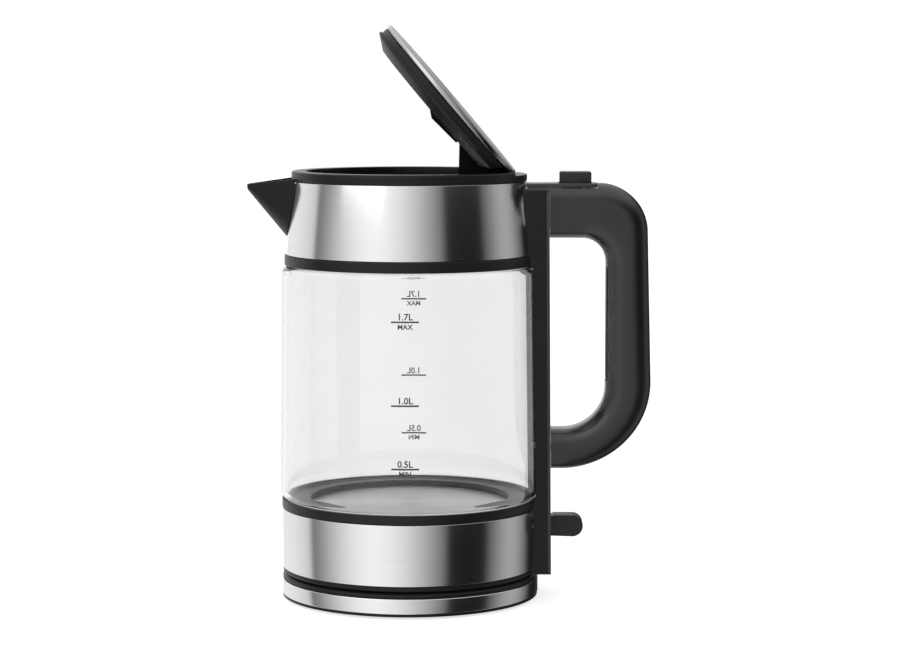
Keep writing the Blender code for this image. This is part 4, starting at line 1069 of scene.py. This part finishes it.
def build_lever():
    """Rocking switch lever."""
    (x, z), reach, tip_r = LEVER_AXIS, 22.2 * MM, 6 * MM
    lever = side_plate("switch_lever_fine", [
        (-16 * MM, 3 * MM), (-16 * MM, -0.5 * MM), (-3 * MM, -2.6 * MM), (4 * MM, -5.6 * MM),
        *arc(reach - tip_r, 0, tip_r, tip_r, -85, 85, 33),
        (6 * MM, 6 * MM), (2 * MM, 4 * MM),
    ], half_of("switch_lever"), BUTTON_BLACK)
    lever.location = (x, 0, z)
    cut(apply_all(lever), rod("bore", (x, -20 * MM, z), 40 * MM, LEVER_BORE_R, "Y"))
    seat(ease(lever, 0.7 * MM, 3), "switch_lever")


def dress_inner_nodes():
    """Give the inner pieces, which keep the frame's own meshes, their finish."""
    for node, piece in frame["nodes"].items():
        look = DEFAULT_LOOK[SLOT_OF[node]]
        if piece.type == "MESH":
            for i in range(len(piece.material_slots)):
                piece.material_slots[i].link = "OBJECT"
                piece.material_slots[i].material = look
            finish = piece.modifiers.new("smooth", "EDGE_SPLIT")
            finish.split_angle = math.radians(35)


# ---------------------------------------------------------------- surroundings

# Studio panels: bearing of the middle (0 faces the camera's side, 90 is +X), half width, how far
# the glow spreads from the middle before it fades out, and brightness. Angles in degrees.
PANELS = {
    "front_left_softbox": (-30, 65, 85, 0.95),
    "rear_left_softbox": (-140, 43, 120, 0.85),
    "rear_fill": (180, 20, 60, 0.5),
    "right_strip": (104, 30, 40, 0.38),
}
PANEL_EDGE = 3.0
ROOM = 0.01


def build_world():
    """Studio surroundings: soft panels round the object, seen in reflections, and a white field."""
    world = bpy.data.worlds.new("studio")
    bpy.context.scene.world = world
    world.use_nodes = True
    tree = world.node_tree
    tree.nodes.clear()
    link = tree.links.new

    def math_node(operation, *values):
        made = tree.nodes.new("ShaderNodeMath")
        made.operation = operation
        for i, value in enumerate(values):
            if isinstance(value, (int, float)):
                made.inputs[i].default_value = value
            else:
                link(value, made.inputs[i])
        return made.outputs["Value"]

    coords = tree.nodes.new("ShaderNodeTexCoord").outputs["Generated"]
    split = tree.nodes.new("ShaderNodeSeparateXYZ")
    link(coords, split.inputs["Vector"])
    bearing = math_node("ARCTAN2", split.outputs["X"], math_node("MULTIPLY", split.outputs["Y"], -1.0))

    def fade(value, start, end):
        made = tree.nodes.new("ShaderNodeMapRange")
        made.interpolation_type = "SMOOTHSTEP"
        made.inputs["From Min"].default_value = math.radians(start)
        made.inputs["From Max"].default_value = math.radians(end)
        made.inputs["To Min"].default_value = 1.0
        made.inputs["To Max"].default_value = 0.0
        link(value, made.inputs["Value"])
        return made.outputs["Result"]

    light = ROOM
    for middle, half, glow, brightness in PANELS.values():
        away = math_node("PINGPONG", math_node("SUBTRACT", bearing, math.radians(middle)), math.pi)
        inside = fade(away, half - PANEL_EDGE, half + PANEL_EDGE)
        lit = math_node("MULTIPLY", fade(away, 0.0, glow), inside)
        light = math_node("ADD", math_node("MULTIPLY", lit, brightness), light)
    above = tree.nodes.new("ShaderNodeMapRange")
    above.interpolation_type = "SMOOTHSTEP"
    above.inputs["From Min"].default_value = 0.35
    above.inputs["From Max"].default_value = 0.8
    link(split.outputs["Z"], above.inputs["Value"])
    overhead = tree.nodes.new("ShaderNodeMix")
    overhead.data_type = "RGBA"
    link(above.outputs["Result"], overhead.inputs[0])
    link(light, overhead.inputs[6])
    overhead.inputs[7].default_value = as_colour(1.1)
    ring = tree.nodes.new("ShaderNodeBackground")
    link(overhead.outputs[2], ring.inputs["Color"])
    white = tree.nodes.new("ShaderNodeBackground")
    white.inputs["Color"].default_value = as_colour(1.0)
    path = tree.nodes.new("ShaderNodeLightPath")
    seen = math_node("MAXIMUM", path.outputs["Is Camera Ray"], path.outputs["Is Transmission Ray"])
    blend = tree.nodes.new("ShaderNodeMixShader")
    link(seen, blend.inputs["Fac"])
    link(ring.outputs["Background"], blend.inputs[1])
    link(white.outputs["Background"], blend.inputs[2])
    link(blend.outputs["Shader"], tree.nodes.new("ShaderNodeOutputWorld").inputs["Surface"])


def build_floor():
    """White sweep under the object."""
    graph = Graph("white_sweep").set(Roughness=0.9)
    cloud = graph.noise(graph.coords, 3.0)
    graph.link(graph.ramp(cloud, 0.49, 0.51), graph.shader.inputs["Base Color"])
    graph.set(Emission_Color=as_colour(1.0), Emission_Strength=0.72, Specular_IOR_Level=0.2)
    shape = bmesh.new()
    bmesh.ops.create_grid(shape, x_segments=1, y_segments=1, size=6.0)
    floor = new_piece("sweep", shape, graph.material)
    floor.visible_glossy = False


def add_lamp(name, spot, aim, size, power):
    """Add a soft square or oblong light."""
    data = bpy.data.lights.new(name, "AREA")
    data.shape = "RECTANGLE"
    data.size, data.size_y = size
    data.energy = power
    lamp = bpy.data.objects.new(name, data)
    bpy.context.scene.collection.objects.link(lamp)
    lamp.location = spot
    lamp.rotation_euler = (Vector(aim) - Vector(spot)).to_track_quat("-Z", "Y").to_euler()


def build_camera():
    """Camera a little above the handle, nearly side on."""
    distance, height, bearing = 1.470, 0.296, math.radians(2.0)
    turn, tilt = math.radians(0.88), math.radians(5.58)
    data = bpy.data.cameras.new("camera")
    data.lens, data.sensor_width = 105.6, 36.0
    camera = bpy.data.objects.new("camera", data)
    bpy.context.scene.collection.objects.link(camera)
    spot = Vector((distance * math.sin(bearing), -distance * math.cos(bearing), height))
    camera.location = spot
    yaw = bearing - turn
    forward = Vector((-math.sin(yaw) * math.cos(tilt), math.cos(yaw) * math.cos(tilt), -math.sin(tilt)))
    camera.rotation_euler = forward.to_track_quat("-Z", "Y").to_euler()
    bpy.context.scene.camera = camera


build_power_base()
build_jug_floor()
build_jug_walls()
level_marks()
build_spout()
build_lid()
build_spine()
build_handle()
build_release()
build_springs()
build_lever()
dress_inner_nodes()
build_floor()
build_world()
add_lamp("key_left", (-0.9, -0.9, 1.1), (0, 0, 0.12), (1.3, 1.3), 3.5)
build_camera()
bpy.context.scene.view_settings.view_transform = "Standard"
bpy.context.scene.view_settings.look = "None"
